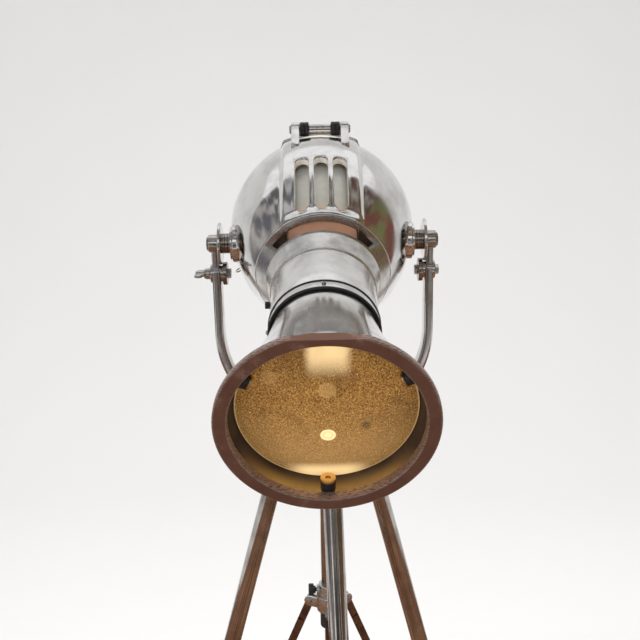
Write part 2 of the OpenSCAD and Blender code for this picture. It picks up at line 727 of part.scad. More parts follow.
// A cap that goes on with the shell's curve, then runs straight to the neck
module gate_collar() {
    color("silver") difference() {
        lathe(concat(
            [[gate_r - collar_flange, gate_s]],
            [for (i = [0:6]) let (s = gate_s + (cap_end - gate_s) * i / 6) [nose_r_at(s, 0), s]],
            [[neck_r + collar_lip, gate_end], [neck_r, gate_end], [neck_r, neck_start],
                [nose_r_at(cap_end, 0) - collar_wall, cap_end + 1], [gate_r - collar_flange, gate_s + 3]]
        ));
        at_head() translate([-BIG / 2, -slot_end, slot_floor]) cube([BIG, slot_end - slot_start, BIG]);
    }
}
module gate_plate() {
    color("black") beam() tube(gate_r - shell_wall - 1.5, 38, gate_s - shell_wall - 2.5, gate_s - shell_wall);
}
module neck_tube() {
    color("silver") difference() {
        lathe([
            [neck_in_r, neck_start], [neck_r, neck_start], [neck_r, gate_end],
            [neck_r + 1.7, gate_end + 0.5], [neck_r + 1.7, gate_end + 3], [neck_r, gate_end + 4],
            [neck_r, neck_end], [neck_in_r, neck_end]
        ]);
        beam() rotate([0, 0, focus_turn]) translate([0, 0, focus_s]) {
            half = focus_screw_r + gap;
            translate([0, -half, -half]) cube([neck_r + 10, 2 * half, focus_travel + 2 * half]);
        }
    }
}
// One child at each of the band's two screw seats, Z outwards from the seat
module at_band_screws() {
    beam() for (a = [90, 180]) rotate([0, 0, a])
        translate([band_r - band_seat, 0, (band_start + band_end) / 2]) rotate([0, 90, 0]) children();
}
module clamp_band() {
    color("silver") difference() {
        beam() tube(band_r, neck_in_r, band_start, band_end);
        at_band_screws() cylinder(r = band_screw_r, h = 2 * band_screw_t);
    }
}
module band_rings() {
    color("black") beam() for (s = [neck_end + ring_r, band_end + ring_r]) translate([0, 0, s])
        rotate_extrude() translate([neck_r - 0.4, 0]) circle(ring_r, $fn = 24);
}
module band_screws() {
    color("dimgray") at_band_screws() union() {
        cylinder(r = band_screw_r, h = band_screw_t);
        translate([0, 0, band_screw_t]) sphere(band_screw_r - 0.7, $fn = 24);
    }
}
module trunnions() {
    color("dimgray") at_head() both_sides() {
        translate([boss_face - 16, 0, 0]) rotate([0, 90, 0])
            cylinder(r = journal_r, h = eye_out - boss_face + 17);
        translate([boss_face, 0, 0]) rotate([0, 90, 0]) cylinder(r = trunnion_r, h = disc_in - boss_face);
        translate([eye_out + gap, 0, 0]) rotate([0, 90, 0]) cylinder(r = journal_r + 1.5, h = 2);
    }
}
module friction_discs() {
    color("dimgray") at_head() both_sides() translate([disc_in, 0, 0]) rotate([0, 90, 0]) difference() {
        cylinder(r = disc_r, h = disc_t);
        translate([0, 0, -1]) cylinder(r = journal_r, h = disc_t + 2);
    }
}
module hinge_pin() {
    half = lug_outer_x + lug_w;
    color("silver") at_head() translate([0, hinge_back, hinge_up]) {
        cross_pin(hinge_pin_r, 2 * half);
        both_sides() translate([half + 1.2, 0, 0]) cross_pin(hinge_pin_r + 1.8, 2.4);
    }
}
module lamp_tray() {
    color("silver") at_head() translate([0, -tray_s, tray_z - 8]) {
        cylinder(r = tray_r, h = tray_t);
        translate([0, 0, tray_t]) cylinder(r = tray_r - 6.5, h = 14);
    }
}
module lamp_bracket() {
    color("silver") at_head() {
        translate([-9, -tray_s - 8, tray_z + 11]) cube([18, tray_s - lamp_s + 24, 3]);
    }
}
module lamp_holder() {
    color("white") at_head() translate([0, -lamp_s, tray_z + 14]) {
        cylinder(r = 15, h = 18);
        translate([0, 0, 18]) cylinder(r = 18, h = 30);
    }
}
module lamp() {
    color("lightyellow") at_head() translate([0, -lamp_s, tray_z + 62]) {
        cylinder(r = 12, h = 14);
        translate([0, 0, 14]) cylinder(r = lamp_r, h = 52);
        translate([0, 0, 66]) sphere(lamp_r);
    }
}
module cable_gland() {
    color("black") at_head() translate([0, -gland_s, tray_z - 8]) rotate([180, 0, 0]) difference() {
        union() {
            cylinder(r = 11, h = 6, $fn = 6);
            translate([0, 0, 6]) cylinder(r = 8, h = 12);
        }
        translate([0, 0, 3]) cylinder(r = 4.2, h = 20);
    }
}

// ---------------------------------------------------------------- rear dome
module dome_ball(grow) { at_head() translate([0, dome_back, 0]) sphere(dome_r + grow); }
module rear_dome() {
    color("silver") union() {
        difference() {
            union() {
                dome_ball(0);
                intersection() {
                    dome_ball(box_h);
                    slab(panel_w);
                    at_head() translate([-BIG / 2, -BIG, 78]) cube([BIG, 2 * BIG, BIG]);
                }
            }
            dome_ball(-shell_wall);
            split_space(true, -split_gap);
            hinge_relief(lug_outer_x - gap, panel_w / 2 + 1);
            at_head() translate([0, hinge_back, hinge_up]) cross_pin(spacer_r + gap, 2 * lug_inner + 1);
            at_head() for (i = [-1:1]) translate([i * slot_pitch - 4, dome_back, 92])
                cube([8, dome_r, 14]);
        }
        hinge_lugs(lug_inner, [-22, -4], 18);
    }
}
module hinge_spacer() {
    color("silver") at_head() translate([0, hinge_back, hinge_up]) difference() {
        cross_pin(spacer_r, 2 * lug_inner - 0.4);
        cross_pin(hinge_pin_r + run, 60);
    }
}
module reflector() {
    color("white") at_head() translate([0, dome_back, 0]) {
        difference() {
            sphere(reflector_r);
            sphere(reflector_r - 1.5);
            translate([-BIG / 2, 10 - BIG, -BIG / 2]) cube([BIG, BIG, BIG]);
        }
        intersection() {
            translate([0, reflector_r - 1, 0]) rotate([-90, 0, 0]) cylinder(r = 12, h = BIG);
            sphere(dome_r - shell_wall);
        }
    }
}
module dome_clip() {
    color("dimgray") difference() {
        at_head() translate([-9, 0, -dome_r - 2.7]) {
            translate([0, -18, 0]) cube([18, 44, 1.5]);
            translate([0, -18, 0]) cube([18, 1.5, 5]);
            translate([0, 6, 0]) cube([18, 20, 10]);
        }
        dome_ball(0);
    }
}
module pull_ring() {
    color("silver") difference() {
        at_head() translate([0, dome_back, 0]) rotate([0, ring_turn, 0]) translate([dome_r, -12, 0]) {
            translate([-2, 0, 0]) rotate([0, 90, 0]) cylinder(r = 2.4, h = 4.4);
            translate([ring_mid_r + 1.6, 0, 0]) rotate_extrude() translate([ring_mid_r, 0]) circle(ring_wire_r, $fn = 24);
        }
        dome_ball(0);
    }
}

// ---------------------------------------------------------------- lens tube
module lens_sleeve() {
    color("dimgray") difference() {
        beam() tube(sleeve_r, sleeve_r - sleeve_wall, sleeve_start, hood_start + 8);
        beam() rotate([0, 0, focus_turn]) translate([0, 0, focus_s]) rotate([0, 90, 0])
            cylinder(r = focus_screw_r + run, h = neck_r);
    }
}
module flared_hood() {
    steps = 14;
    span = hood_end - hood_start;
    stations = [for (i = [0:steps]) hood_start + span * i / steps];
    color("silver") difference() {
        lathe(concat(
            [for (s = stations) [hood_r_at(s), s]],
            [for (i = [0:steps]) let (s = stations[steps - i])
                [i == steps ? sleeve_r : max(sleeve_r, hood_r_at(s) - hood_wall), s]]
        ));
        at_head() translate([-BIG / 2, -rim_s - 1, rim_r - rim_flat]) cube([BIG, 60, 60]);
    }
}
module front_rim() {
    lip_in = rim_r - rim_lip;
    color("saddlebrown") difference() {
        lathe([
            [lip_in, hood_end], [hood_r_at(hood_end), hood_end], [rim_r, hood_end + 4],
            [rim_r, rim_s - 1], [rim_r - 1, rim_s], [lip_in + 1.5, rim_s], [lip_in, rim_s - 1.5]
        ]);
        at_head() translate([-BIG / 2, -rim_s - 1, rim_r - rim_flat]) cube([BIG, 60, 60]);
    }
}
module lens() {
    half = asin(lens_r / lens_curve_r);
    color("goldenrod") lathe(concat(
        [[0, lens_s], [lens_r, lens_s]],
        arc_points([0, lens_front + lens_rise_at(0) - lens_curve_r], lens_curve_r, 90 - half, 90, 8)
    ));
}
module post_places() {
    beam() for (a = [-90, 30, 150]) rotate([0, 0, a]) translate([0, 0, post_s]) rotate([0, 90, 0]) children();
}
module lens_post_rubbers() {
    color("black") intersection() {
        post_places() translate([0, 0, post_top + 2.5]) cylinder(r = post_r, h = 30);
        lathe([
            [0, lens_s], [hood_r_at(lens_s) - hood_wall - 0.1, lens_s],
            [hood_r_at(post_s) - hood_wall - 0.1, post_s], [hood_r_at(hood_end) - hood_wall - 0.1, hood_end],
            [0, hood_end]
        ]);
    }
}
module lens_post_caps() {
    color("gold") post_places() translate([0, 0, post_top]) difference() {
        cylinder(r = post_r, h = 2.5);
        translate([0, 0, -1]) cylinder(r = 2.2, h = 2.5);
    }
}
module focus_knob() {
    color("black") beam() rotate([0, 0, focus_turn]) translate([sleeve_r - sleeve_wall, 0, focus_s])
        rotate([0, 90, 0]) union() {
            cylinder(r = focus_screw_r, h = neck_r - sleeve_r + sleeve_wall + 1);
            translate([0, 0, neck_r - sleeve_r + sleeve_wall + 0.6]) cylinder(r = 4.5, h = 6);
        }
}

tripod_hub();
hub_pins();
column_tube();
column_bush();
mast_knob();
leg_tube(0);  // leg_tube_1
leg_tube(1);  // leg_tube_2
leg_tube(2);  // leg_tube_3
leg_head(0);  // leg_head_1
leg_head(1);  // leg_head_2
leg_head(2);  // leg_head_3
foot(0);  // foot_1
foot(1);  // foot_2
foot(2);  // foot_3
strut_clip(0);  // strut_clip_1
strut_clip(1);  // strut_clip_2
strut_clip(2);  // strut_clip_3
strut(0);  // strut_1
strut(1);  // strut_2
strut(2);  // strut_3
spreader_collar();
collar_pins();
collar_knob();
mast_rod();
mast_head();
pan_nut();
fork();
clamp_bolts();
clamp_washers();
clamp_wing_nut();
front_shell();
heat_baffle();
gate_collar();
gate_plate();
neck_tube();
clamp_band();
band_rings();
band_screws();
trunnions();
friction_discs();
hinge_pin();
lamp_tray();
lamp_bracket();
lamp_holder();
lamp();
cable_gland();
rear_dome();
hinge_spacer();
reflector();
dome_clip();
pull_ring();
lens_sleeve();
flared_hood();
front_rim();
lens();
lens_post_rubbers();
lens_post_caps();
focus_knob();
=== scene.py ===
"""Looks of a tripod spotlight floor lamp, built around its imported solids.

A polished cast profile spotlight with a flared lens hood hangs in a fork on a
folding tripod. Sizes are millimetres unless a name says otherwise. The file
follows the lamp from the lamp house forwards, then down the fork to the feet.
"""
import json
import math

import bmesh
import bpy
import numpy as np
from mathutils import Matrix, Vector


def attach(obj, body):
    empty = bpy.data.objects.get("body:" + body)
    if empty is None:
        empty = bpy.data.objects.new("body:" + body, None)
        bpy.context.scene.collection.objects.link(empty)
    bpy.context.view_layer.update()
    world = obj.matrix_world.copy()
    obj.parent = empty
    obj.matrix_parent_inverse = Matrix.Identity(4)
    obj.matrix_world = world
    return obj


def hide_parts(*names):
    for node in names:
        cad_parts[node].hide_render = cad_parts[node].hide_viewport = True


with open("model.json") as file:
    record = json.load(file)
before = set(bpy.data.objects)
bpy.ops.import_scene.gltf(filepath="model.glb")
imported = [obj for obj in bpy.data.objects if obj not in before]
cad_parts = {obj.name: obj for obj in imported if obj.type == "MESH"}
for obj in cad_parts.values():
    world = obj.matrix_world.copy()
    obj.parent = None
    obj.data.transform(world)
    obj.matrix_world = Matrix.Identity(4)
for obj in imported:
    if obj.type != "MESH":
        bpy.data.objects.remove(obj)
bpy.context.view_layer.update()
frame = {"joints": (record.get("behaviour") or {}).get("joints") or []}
joints = {joint["name"]: joint for joint in frame["joints"]}
MM = 0.001
RUN = 0.06


# ---------------------------------------------------------------- camera
# The picture is taken from a little above the head, 1.24 m in front of the
# tilt axis, with the camera tipped down and rolled slightly clockwise.
tilt_pivot = np.array(joints["head_tilt"]["pos_m"])
HEAD_TILT = math.radians(20)
CAMERA_FROM_PIVOT = (-5.2, -1221.6, 206.5)
CAMERA_PITCH = 14.6
CAMERA_ROLL = -1.2
camera = bpy.data.objects.new("camera", bpy.data.cameras.new("camera"))
bpy.context.scene.collection.objects.link(camera)
camera.data.sensor_width = 36.0
camera.data.lens = 50.4
camera.matrix_world = (
    Matrix.Translation(Vector(tilt_pivot + MM * np.array(CAMERA_FROM_PIVOT)))
    @ Matrix.Rotation(math.radians(90 - CAMERA_PITCH), 4, "X")
    @ Matrix.Rotation(math.radians(CAMERA_ROLL), 4, "Z")
)
bpy.context.scene.camera = camera
bpy.context.scene.view_settings.view_transform = "Standard"


# ---------------------------------------------------------------- studio
# A pale seamless floor and wall in a pale room. Polished metal mirrors the
# room, so dark and brown cards stand round the lamp, out of the picture: the
# wall behind the camera, a wooden floor in front and a cupboard at the right.
class Socket:
    """A node's output. Python's + - * / ** on it add Math nodes to the tree."""

    def __init__(self, tree, out):
        self.tree, self.out = tree, out

    def math(self, operation, *others):
        """One Math node, with this socket as its first value."""
        return add(self.tree, "ShaderNodeMath", {"operation": operation}, self, *others)

    def __add__(self, other):
        return self.math("ADD", other)

    def __sub__(self, other):
        return self.math("SUBTRACT", other)

    def __rsub__(self, other):
        return self.math("MULTIPLY", -1.0) + other

    def __mul__(self, other):
        return self.math("MULTIPLY", other)

    def __truediv__(self, other):
        return self.math("DIVIDE", other)

    def __pow__(self, other):
        return self.math("POWER", other)

    def size(self):
        """The value without its sign."""
        return self.math("ABSOLUTE")

    def step(self, low, high, from_value=0.0, to_value=1.0):
        """Eases from from_value to to_value as the socket goes from low to high."""
        return add(self.tree, "ShaderNodeMapRange",
                   {"interpolation_type": "SMOOTHSTEP"}, self, low, high, from_value, to_value)


def add(tree, kind, settings, *values, out=None, **named):
    """Adds one node: settings first, then the values or links of its sockets."""
    node = tree.nodes.new(kind)
    for key, value in settings.items():
        setattr(node, key, value)
    shown = [socket for socket in node.inputs if socket.enabled]
    pairs = list(zip(shown, values))
    pairs += [(node.inputs[key.replace("_", " ")], value) for key, value in named.items()]
    for socket, value in pairs:
        if isinstance(value, Socket):
            tree.links.new(value.out, socket)
        elif value is not None:
            if socket.type == "RGBA" and len(value) == 3:
                value = (*value, 1.0)
            socket.default_value = value
    outs = [socket for socket in node.outputs if socket.enabled]
    return Socket(tree, node.outputs[out] if out else outs[0]) if outs else node


def hypot(across, up):
    """Distance from a middle: the square root of across^2 + up^2."""
    return (across * across + up * up) ** 0.5


def blend(factor, first, second):
    """The colour that goes from first to second as factor goes from 0 to 1."""
    return add(factor.tree, "ShaderNodeMix", {"data_type": "RGBA"}, factor, first, second)


def split(vector):
    """The three parts of a vector, as sockets."""
    node = vector.tree.nodes.new("ShaderNodeSeparateXYZ")
    vector.tree.links.new(vector.out, node.inputs[0])
    return [Socket(vector.tree, out) for out in node.outputs]


def shown_plainly(tree):
    """1 for the rays that the camera, a mirror or a glass sees the background by."""
    path = tree.nodes.new("ShaderNodeLightPath")
    camera_ray, glossy, through = [
        Socket(tree, path.outputs[name])
        for name in ("Is Camera Ray", "Is Glossy Ray", "Is Transmission Ray")]
    return add(tree, "ShaderNodeMath", {"operation": "ADD", "use_clamp": True}, camera_ray + glossy, through)


world = bpy.data.worlds.new("room")
bpy.context.scene.world = world
world.use_nodes = True
room = world.node_tree
room.nodes.clear()
look_z = split(add(room, "ShaderNodeTexCoord", {}, out="Generated"))[2]
room_light = blend(look_z.step(-0.3, 0.8), (0.62, 0.6, 0.58), (0.8, 0.8, 0.81))
room_shade = blend(look_z.step(-0.2, 0.7), (0.86, 0.855, 0.845), (0.93, 0.93, 0.93))
both = add(room, "ShaderNodeMixShader", {}, shown_plainly(room),
           add(room, "ShaderNodeBackground", {}, room_light, 1.0),
           add(room, "ShaderNodeBackground", {}, room_shade, 1.0))
add(room, "ShaderNodeOutputWorld", {}, both)


def soft_light(name, place, aim, width, height, watts, colour=(1, 1, 1)):
    """A rectangular lamp at `place`, turned towards `aim`, both in metres."""
    data = bpy.data.lights.new(name, "AREA")
    data.shape, data.size, data.size_y = "RECTANGLE", width, height
    data.energy, data.color = watts, colour
    lamp = bpy.data.objects.new(name, data)
    bpy.context.scene.collection.objects.link(lamp)
    lamp.visible_glossy = False
    lamp.location = place
    lamp.rotation_mode = "QUATERNION"
    lamp.rotation_quaternion = (Vector(aim) - Vector(place)).to_track_quat("-Z", "Y")


soft_light("window_left", (-2.4, -1.7, 2.4), (0, 0, 1.4), 0.8, 1.2, 30, (1, 0.99, 0.97))
soft_light("ceiling", (0.1, 0.9, 3.4), (0, 0.2, 1.2), 1.8, 1.2, 40)
soft_light("window_right", (2.6, -0.9, 2.2), (0, 0, 1.3), 0.5, 1.3, 14, (0.98, 0.99, 1))


# ---------------------------------------------------------------- seamless and cards
# The seamless runs flat under the lamp and curves up behind it as a wall.
class Finish:
    """A material on Object coordinates, with the nodes that its pattern needs."""

    def __init__(self, name):
        self.material = bpy.data.materials.new(name)
        self.material.use_nodes = True
        self.tree = self.material.node_tree
        self.tree.nodes.clear()
        self.here = self.node("ShaderNodeTexCoord", {}, out="Object")

    def node(self, kind, settings, *values, out=None, **named):
        """One node in this material, as `add` makes it."""
        return add(self.tree, kind, settings, *values, out=out, **named)

    def head(self):
        """Object coordinates in the head's frame, in mm: right, forwards, up."""
        moved = self.node("ShaderNodeVectorMath", {"operation": "SUBTRACT"}, self.here, tuple(tilt_pivot))
        level = self.node("ShaderNodeMapping", {}, moved, (0, 0, 0), (HEAD_TILT, 0, 0), (1000, -1000, 1000))
        return split(level)

    def scaled(self, x, y, z):
        """Coordinates turned with the head, then stretched: large numbers make fine grain."""
        turned_here = self.node("ShaderNodeMapping", {}, self.here, (0, 0, 0), (HEAD_TILT, 0, 0))
        return self.node("ShaderNodeMapping", {}, turned_here, (0, 0, 0), (0, 0, 0), (x, y, z))

    def noise(self, scale, detail=3.0, roughness=0.5, vector=None):
        """Noise from 0 to 1, on Object coordinates or on another vector."""
        return self.node("ShaderNodeTexNoise", {}, vector or self.here, out="Fac",
                         Scale=scale, Detail=detail, Roughness=roughness)

    def clouds(self, scale, roughness=0.62):
        """Soft patches: 0 where the metal is fresh, 1 where it is worn."""
        return self.noise(scale, 5.0, roughness).step(0.36, 0.72)

    def turned_lines(self, along, scale, roughness):
        """Fine lines of a lathe: noise that only changes along the turning axis."""
        return self.node("ShaderNodeTexNoise", {"noise_dimensions": "1D"}, out="Fac",
                         W=along, Scale=scale, Detail=4.0, Roughness=roughness)

    def bump(self, height, strength=0.35, distance=0.0016):
        """The Normal that a height gives. The distance is in metres."""
        return self.node("ShaderNodeBump", {}, strength, distance, Height=height)

    def surface(self, **sockets):
        """The shader itself. Names are the shader's own, with _ for a space."""
        shader = self.node("ShaderNodeBsdfPrincipled", {}, **sockets)
        self.node("ShaderNodeOutputMaterial", {}, shader)
        return self.material


SEAMLESS_HALF = 9.0
CURVE_FROM = 2.4
CURVE_R = 1.8
WALL_TOP = 7.0
curve = np.linspace(0, math.pi / 2, 33)
sweep = np.vstack([[(-SEAMLESS_HALF, 0.0)],
                   np.stack([CURVE_FROM + CURVE_R * np.sin(curve), CURVE_R * (1 - np.cos(curve))], -1),
                   [(CURVE_FROM + CURVE_R, WALL_TOP)]])
seamless_mesh = bpy.data.meshes.new("seamless")
seamless_mesh.from_pydata(
    [(side * SEAMLESS_HALF, y, z) for y, z in sweep.tolist() for side in (-1, 1)], [],
    [(2 * i, 2 * i + 1, 2 * i + 3, 2 * i + 2) for i in range(len(sweep) - 1)])
seamless_mesh.shade_smooth()
seamless = bpy.data.objects.new("seamless", seamless_mesh)
bpy.context.scene.collection.objects.link(seamless)
paper = Finish("pale_paper")
seamless_mesh.materials.append(paper.surface(
    Base_Color=blend(paper.noise(1.2), (0.87, 0.865, 0.855), (0.9, 0.895, 0.89)), Roughness=0.8))


def card(name, corners, first, second, grain):
    """A card beside the set: only mirrors see it, and it takes no light from the lamp."""
    mesh = bpy.data.meshes.new(name)
    mesh.from_pydata(corners, [], [(0, 1, 2, 3)])
    made = bpy.data.objects.new(name, mesh)
    bpy.context.scene.collection.objects.link(made)
    made.visible_camera = made.visible_diffuse = made.visible_shadow = False
    look = Finish(name)
    patches = look.noise(grain).step(0.42, 0.6)
    mesh.materials.append(look.surface(Base_Color=blend(patches, first, second), Roughness=1.0))


card("wall_behind_camera", [(-1.6, -3.3, 0.3), (2.6, -3.3, 0.3), (2.6, -3.3, 2.5), (-1.6, -3.3, 2.5)],
     (0.05, 0.045, 0.045), (0.34, 0.32, 0.3), 1.6)
card("wooden_floor", [(-3, -3.3, 0.01), (3, -3.3, 0.01), (3, 1.4, 0.01), (-3, 1.4, 0.01)],
     (0.16, 0.075, 0.04), (0.3, 0.16, 0.09), 2.2)
card("grey_ceiling_left", [(-2.8, -3.3, 3.5), (0.1, -3.3, 3.5), (0.1, 0.0, 3.5), (-2.8, 1.25, 3.5)],
     (0.11, 0.11, 0.12), (0.46, 0.46, 0.47), 1.8)
card("brown_ceiling_right", [(0.1, -3.3, 3.5), (2.8, -3.3, 3.5), (2.8, 1.25, 3.5), (0.1, 0.0, 3.5)],
     (0.1, 0.05, 0.04), (0.33, 0.33, 0.28), 1.8)
card("grey_wall_left", [(-2.8, -3.3, 0.6), (-2.8, 1.6, 0.6), (-2.8, 1.3, 3.5), (-2.8, -3.3, 3.5)],
     (0.12, 0.12, 0.14), (0.42, 0.4, 0.38), 1.4)
card("red_wall_right", [(2.8, -3.3, 0.6), (2.8, 1.6, 0.6), (2.8, 1.3, 3.5), (2.8, -3.3, 3.5)],
     (0.17, 0.055, 0.045), (0.15, 0.16, 0.06), 1.4)


# ---------------------------------------------------------------- front shell
# The front half of the lamp house: an aluminium sand casting, 4 mm thick,
# ground and mirror polished, with a raised vent panel and three long slots.
# It ends behind at the slanting joint and in front at the gate.
DOME_R = 126.8
DOME_BACK = 33.0
SHELL_WALL = 4.0
SPLIT_BACK = 32.0
SPLIT_LEAN = math.tan(math.radians(20))
GATE_S = 87.0
GATE_R = 87.5
NOSE_R = 248.0
PANEL_HALF = 54.0
PANEL_RISE = 5.0
SLOT_PITCH = 24.7
SLOT_HALF = 8.7
SLOT_FROM, SLOT_TO = 1.0 + SLOT_HALF, GATE_S - 5 - SLOT_HALF
BOSS_R = 27.0
BOSS_FACE = math.sqrt(DOME_R ** 2 - DOME_BACK ** 2) + 3.2


def in_head(points):
    """Head frame (x right, y back, z up, millimetres) to the lamp's own, in metres.

    The head is turned by its tilt about the x axis: y' = y cos - z sin, z' = y sin + z cos.
    """
    x, y, z = np.moveaxis(points, -1, 0)
    c, s = math.cos(HEAD_TILT), math.sin(HEAD_TILT)
    return tilt_pivot + MM * np.stack([x, y * c - z * s, y * s + z * c], -1)


def on_beam(points):
    """Turned shapes (axis z) to the head frame, with the axis along the beam."""
    x, y, z = np.moveaxis(points, -1, 0)
    return np.stack([x, -z, y], -1)


def along_x(points):
    """Turned shapes (axis z) with the axis laid along x."""
    x, y, z = np.moveaxis(points, -1, 0)
    return np.stack([z, x, y], -1)


def grid_faces(rows, columns, wrap_rows=False, wrap_columns=False, start=0):
    """The quads of a grid of points, as indices; wrapping joins the last to the first."""
    index = np.arange(rows * columns).reshape(rows, columns) + start
    if wrap_rows:
        index = np.vstack([index, index[:1]])
    if wrap_columns:
        index = np.hstack([index, index[:, :1]])
    return np.stack([index[:-1, :-1], index[1:, :-1], index[1:, 1:], index[:-1, 1:]], -1).reshape(-1, 4)


def sheet_part(points, wrap_rows=False, wrap_columns=False):
    """A grid of points [rows, columns, 3] as a part: its points and its quads."""
    rows, columns = points.shape[:2]
    return points.reshape(-1, 3), grid_faces(rows, columns, wrap_rows, wrap_columns)


def rounded(corners, radii, steps=5):
    """A polyline whose inner corners are arcs: each arc touches both of its legs."""
    corners = np.asarray(corners, float)
    radii = np.broadcast_to(radii, len(corners))
    path = [corners[:1]]
    for before, corner, after, radius in zip(corners, corners[1:], corners[2:], radii[1:]):
        a, b = before - corner, after - corner
        la, lb = np.linalg.norm(a), np.linalg.norm(b)
        a, b = a / la, b / lb
        half = 0.5 * math.acos(float(np.clip(a @ b, -1, 1)))
        if radius <= 0 or half > math.pi / 2 - 0.02:
            path.append(corner[None])
            continue
        back = min(radius / math.tan(half), 0.49 * la, 0.49 * lb)
        centre = corner + (a + b) / np.linalg.norm(a + b) * back / math.cos(half)
        start, end = corner + a * back - centre, corner + b * back - centre
        t = np.linspace(0, 1, steps)[:, None]
        turn = math.acos(float(np.clip(start @ end / (np.linalg.norm(start) * np.linalg.norm(end)), -1, 1)))
        arc = (np.sin((1 - t) * turn) * start + np.sin(t * turn) * end) / math.sin(turn)
        path.append(centre + arc)
    path.append(corners[-1:])
    return np.vstack(path)


def round_grid(r, t, z):
    """Points at radius r, angle t and height z: x = r cos t, y = r sin t."""
    x, y = r * np.cos(t), r * np.sin(t)
    return np.stack([x, y, z + 0 * x], -1)


def turned(profile, count=160, closed=True):
    """Turns a profile [(r, z)] about z. Closed joins the profile's ends."""
    profile = np.asarray(profile, float)
    t = np.linspace(0, 2 * math.pi, count, endpoint=False)
    return sheet_part(round_grid(profile[:, :1], t, profile[:, 1:]), wrap_rows=closed, wrap_columns=True)


def ring(r_in, r_out, start, end, radii, count=72, steps=5):
    """A ring along z. radii: its corners' roundings, from the inner start outwards and round."""
    corners = [(r_in, start), (r_out, start), (r_out, end), (r_in, end), (r_in, start)]
    return turned(rounded(corners, radii, steps), count)


def washer_ring(r_in, r_out, start, end, corner, count=72):
    """A ring along z whose outer edges are rounded by `corner`."""
    return ring(r_in, r_out, start, end, (0, corner, corner, 0.2, 0), count, 6)


def rod(r, start, end, radii=0, count=48, steps=5):
    """A solid rod along z. radii: its corners' roundings, from the axis outwards and back."""
    corners = [(0.05, start), (r, start), (r, end), (0.05, end)]
    return turned(rounded(corners, radii, steps), count, closed=False)


def placed(part, *moves):
    """A part with its points sent through each move in turn."""
    points, faces = part
    for move in moves:
        points = move(points)
    return points, faces


def shifted(x, y, z):
    """A move that adds (x, y, z) to every point."""
    return lambda points: points + np.array([x, y, z], float)


def mirrored(part):
    """The part's copy on the other side of the plane x = 0."""
    points, faces = part
    return points * np.array([-1, 1, 1]), faces


def both_sides(*parts):
    """The parts, then their mirrored copies."""
    return [*parts, *map(mirrored, parts)]


def piece(name, parts, finish, body, slot, *nodes, at=(), crease=38):
    """One object from parts, after the moves `at` have brought them to metres. Doubles
    are merged, faces look outwards and edges sharper than `crease` degrees stay sharp."""
    parts = [placed(part, *at) for part in parts]
    mesh = bpy.data.meshes.new(name)
    starts = np.cumsum([0] + [len(points) for points, _ in parts])
    faces = [tuple(int(i) + int(start) for i in face)
             for (_, part_faces), start in zip(parts, starts) for face in part_faces]
    mesh.from_pydata(np.vstack([points for points, _ in parts]).tolist(), [], faces)
    work = bmesh.new()
    work.from_mesh(mesh)
    bmesh.ops.remove_doubles(work, verts=work.verts, dist=2e-6)
    bmesh.ops.dissolve_degenerate(work, edges=work.edges, dist=1e-6)
    bmesh.ops.recalc_face_normals(work, faces=work.faces)
    work.to_mesh(mesh)
    work.free()
    mesh.shade_smooth()
    mesh.set_sharp_from_angle(angle=math.radians(crease))
    mesh.materials.append(finish)
    made = bpy.data.objects.new(name, mesh)
    bpy.context.scene.collection.objects.link(made)
    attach(made, body)
    if nodes:
        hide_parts(*nodes)
    return made


def nose_circle():
    """Centre (r, s) of the circle of the shell's side, through both of its ends."""
    first = np.array([math.sqrt(DOME_R ** 2 - DOME_BACK ** 2), 0.0])
    chord = np.array([GATE_R, GATE_S]) - first
    length = np.linalg.norm(chord)
    outward = np.array([chord[1], -chord[0]]) / length
    return first + chord / 2 - outward * math.sqrt(NOSE_R ** 2 - length ** 2 / 4)


NOSE_CENTRE = nose_circle()
MEET = 16.0


def house_r(s, grow=0.0):
    """Radius of the lamp house at s: a ball behind, a flatter circle in front, and a
    cubic between -MEET and MEET that keeps the slopes of both."""
    s = np.asarray(s, float)

    def ball(v):
        return np.sqrt(np.maximum((DOME_R + grow) ** 2 - (v + DOME_BACK) ** 2, 0))

    def nose(v):
        return NOSE_CENTRE[0] + np.sqrt((NOSE_R + grow) ** 2 - (v - NOSE_CENTRE[1]) ** 2)

    t = np.clip((s + MEET) / (2 * MEET), 0, 1)
    r0, r1 = ball(-MEET), nose(MEET)
    m0 = -(DOME_BACK - MEET) / r0 * 2 * MEET
    m1 = -(MEET - NOSE_CENTRE[1]) / (r1 - NOSE_CENTRE[0]) * 2 * MEET
    middle = ((2 * t ** 3 - 3 * t ** 2 + 1) * r0 + (t ** 3 - 2 * t ** 2 + t) * m0
              + (3 * t ** 2 - 2 * t ** 3) * r1 + (t ** 3 - t ** 2) * m1)
    return np.where(s < -MEET, ball(s), np.where(s > MEET, nose(s), middle))


def eased(value, low, high):
    """0 below low, 1 above high, with a smooth step between."""
    t = np.clip((value - low) / (high - low), 0, 1)
    return t * t * (3 - 2 * t)


def joint_s(angle):
    """Where the slanting joint cuts the shell, at an angle round the beam from +x."""
    s = np.full_like(angle, -SPLIT_BACK)
    for _ in range(40):
        s = -SPLIT_BACK - SPLIT_LEAN * house_r(s) * np.sin(angle)
    return s


def slot_half(s, grow):
    """Half width of a vent slot at s, widened by grow: straight sides and round ends."""
    radius = SLOT_HALF + grow
    past = np.maximum(np.maximum(SLOT_FROM - s, s - SLOT_TO), 0)
    return np.sqrt(np.maximum(radius ** 2 - past ** 2, 0))


SLOT_LIP = (0.0, 0.35, 0.8, 1.3, 1.9, 2.6)
LIP_HEIGHT = (-1.3, -0.35, 0.25, 0.45, 0.3, 0.0)
GATE_HOLE_R = GATE_R - 9.0
EDGE_ROUND = 1.1


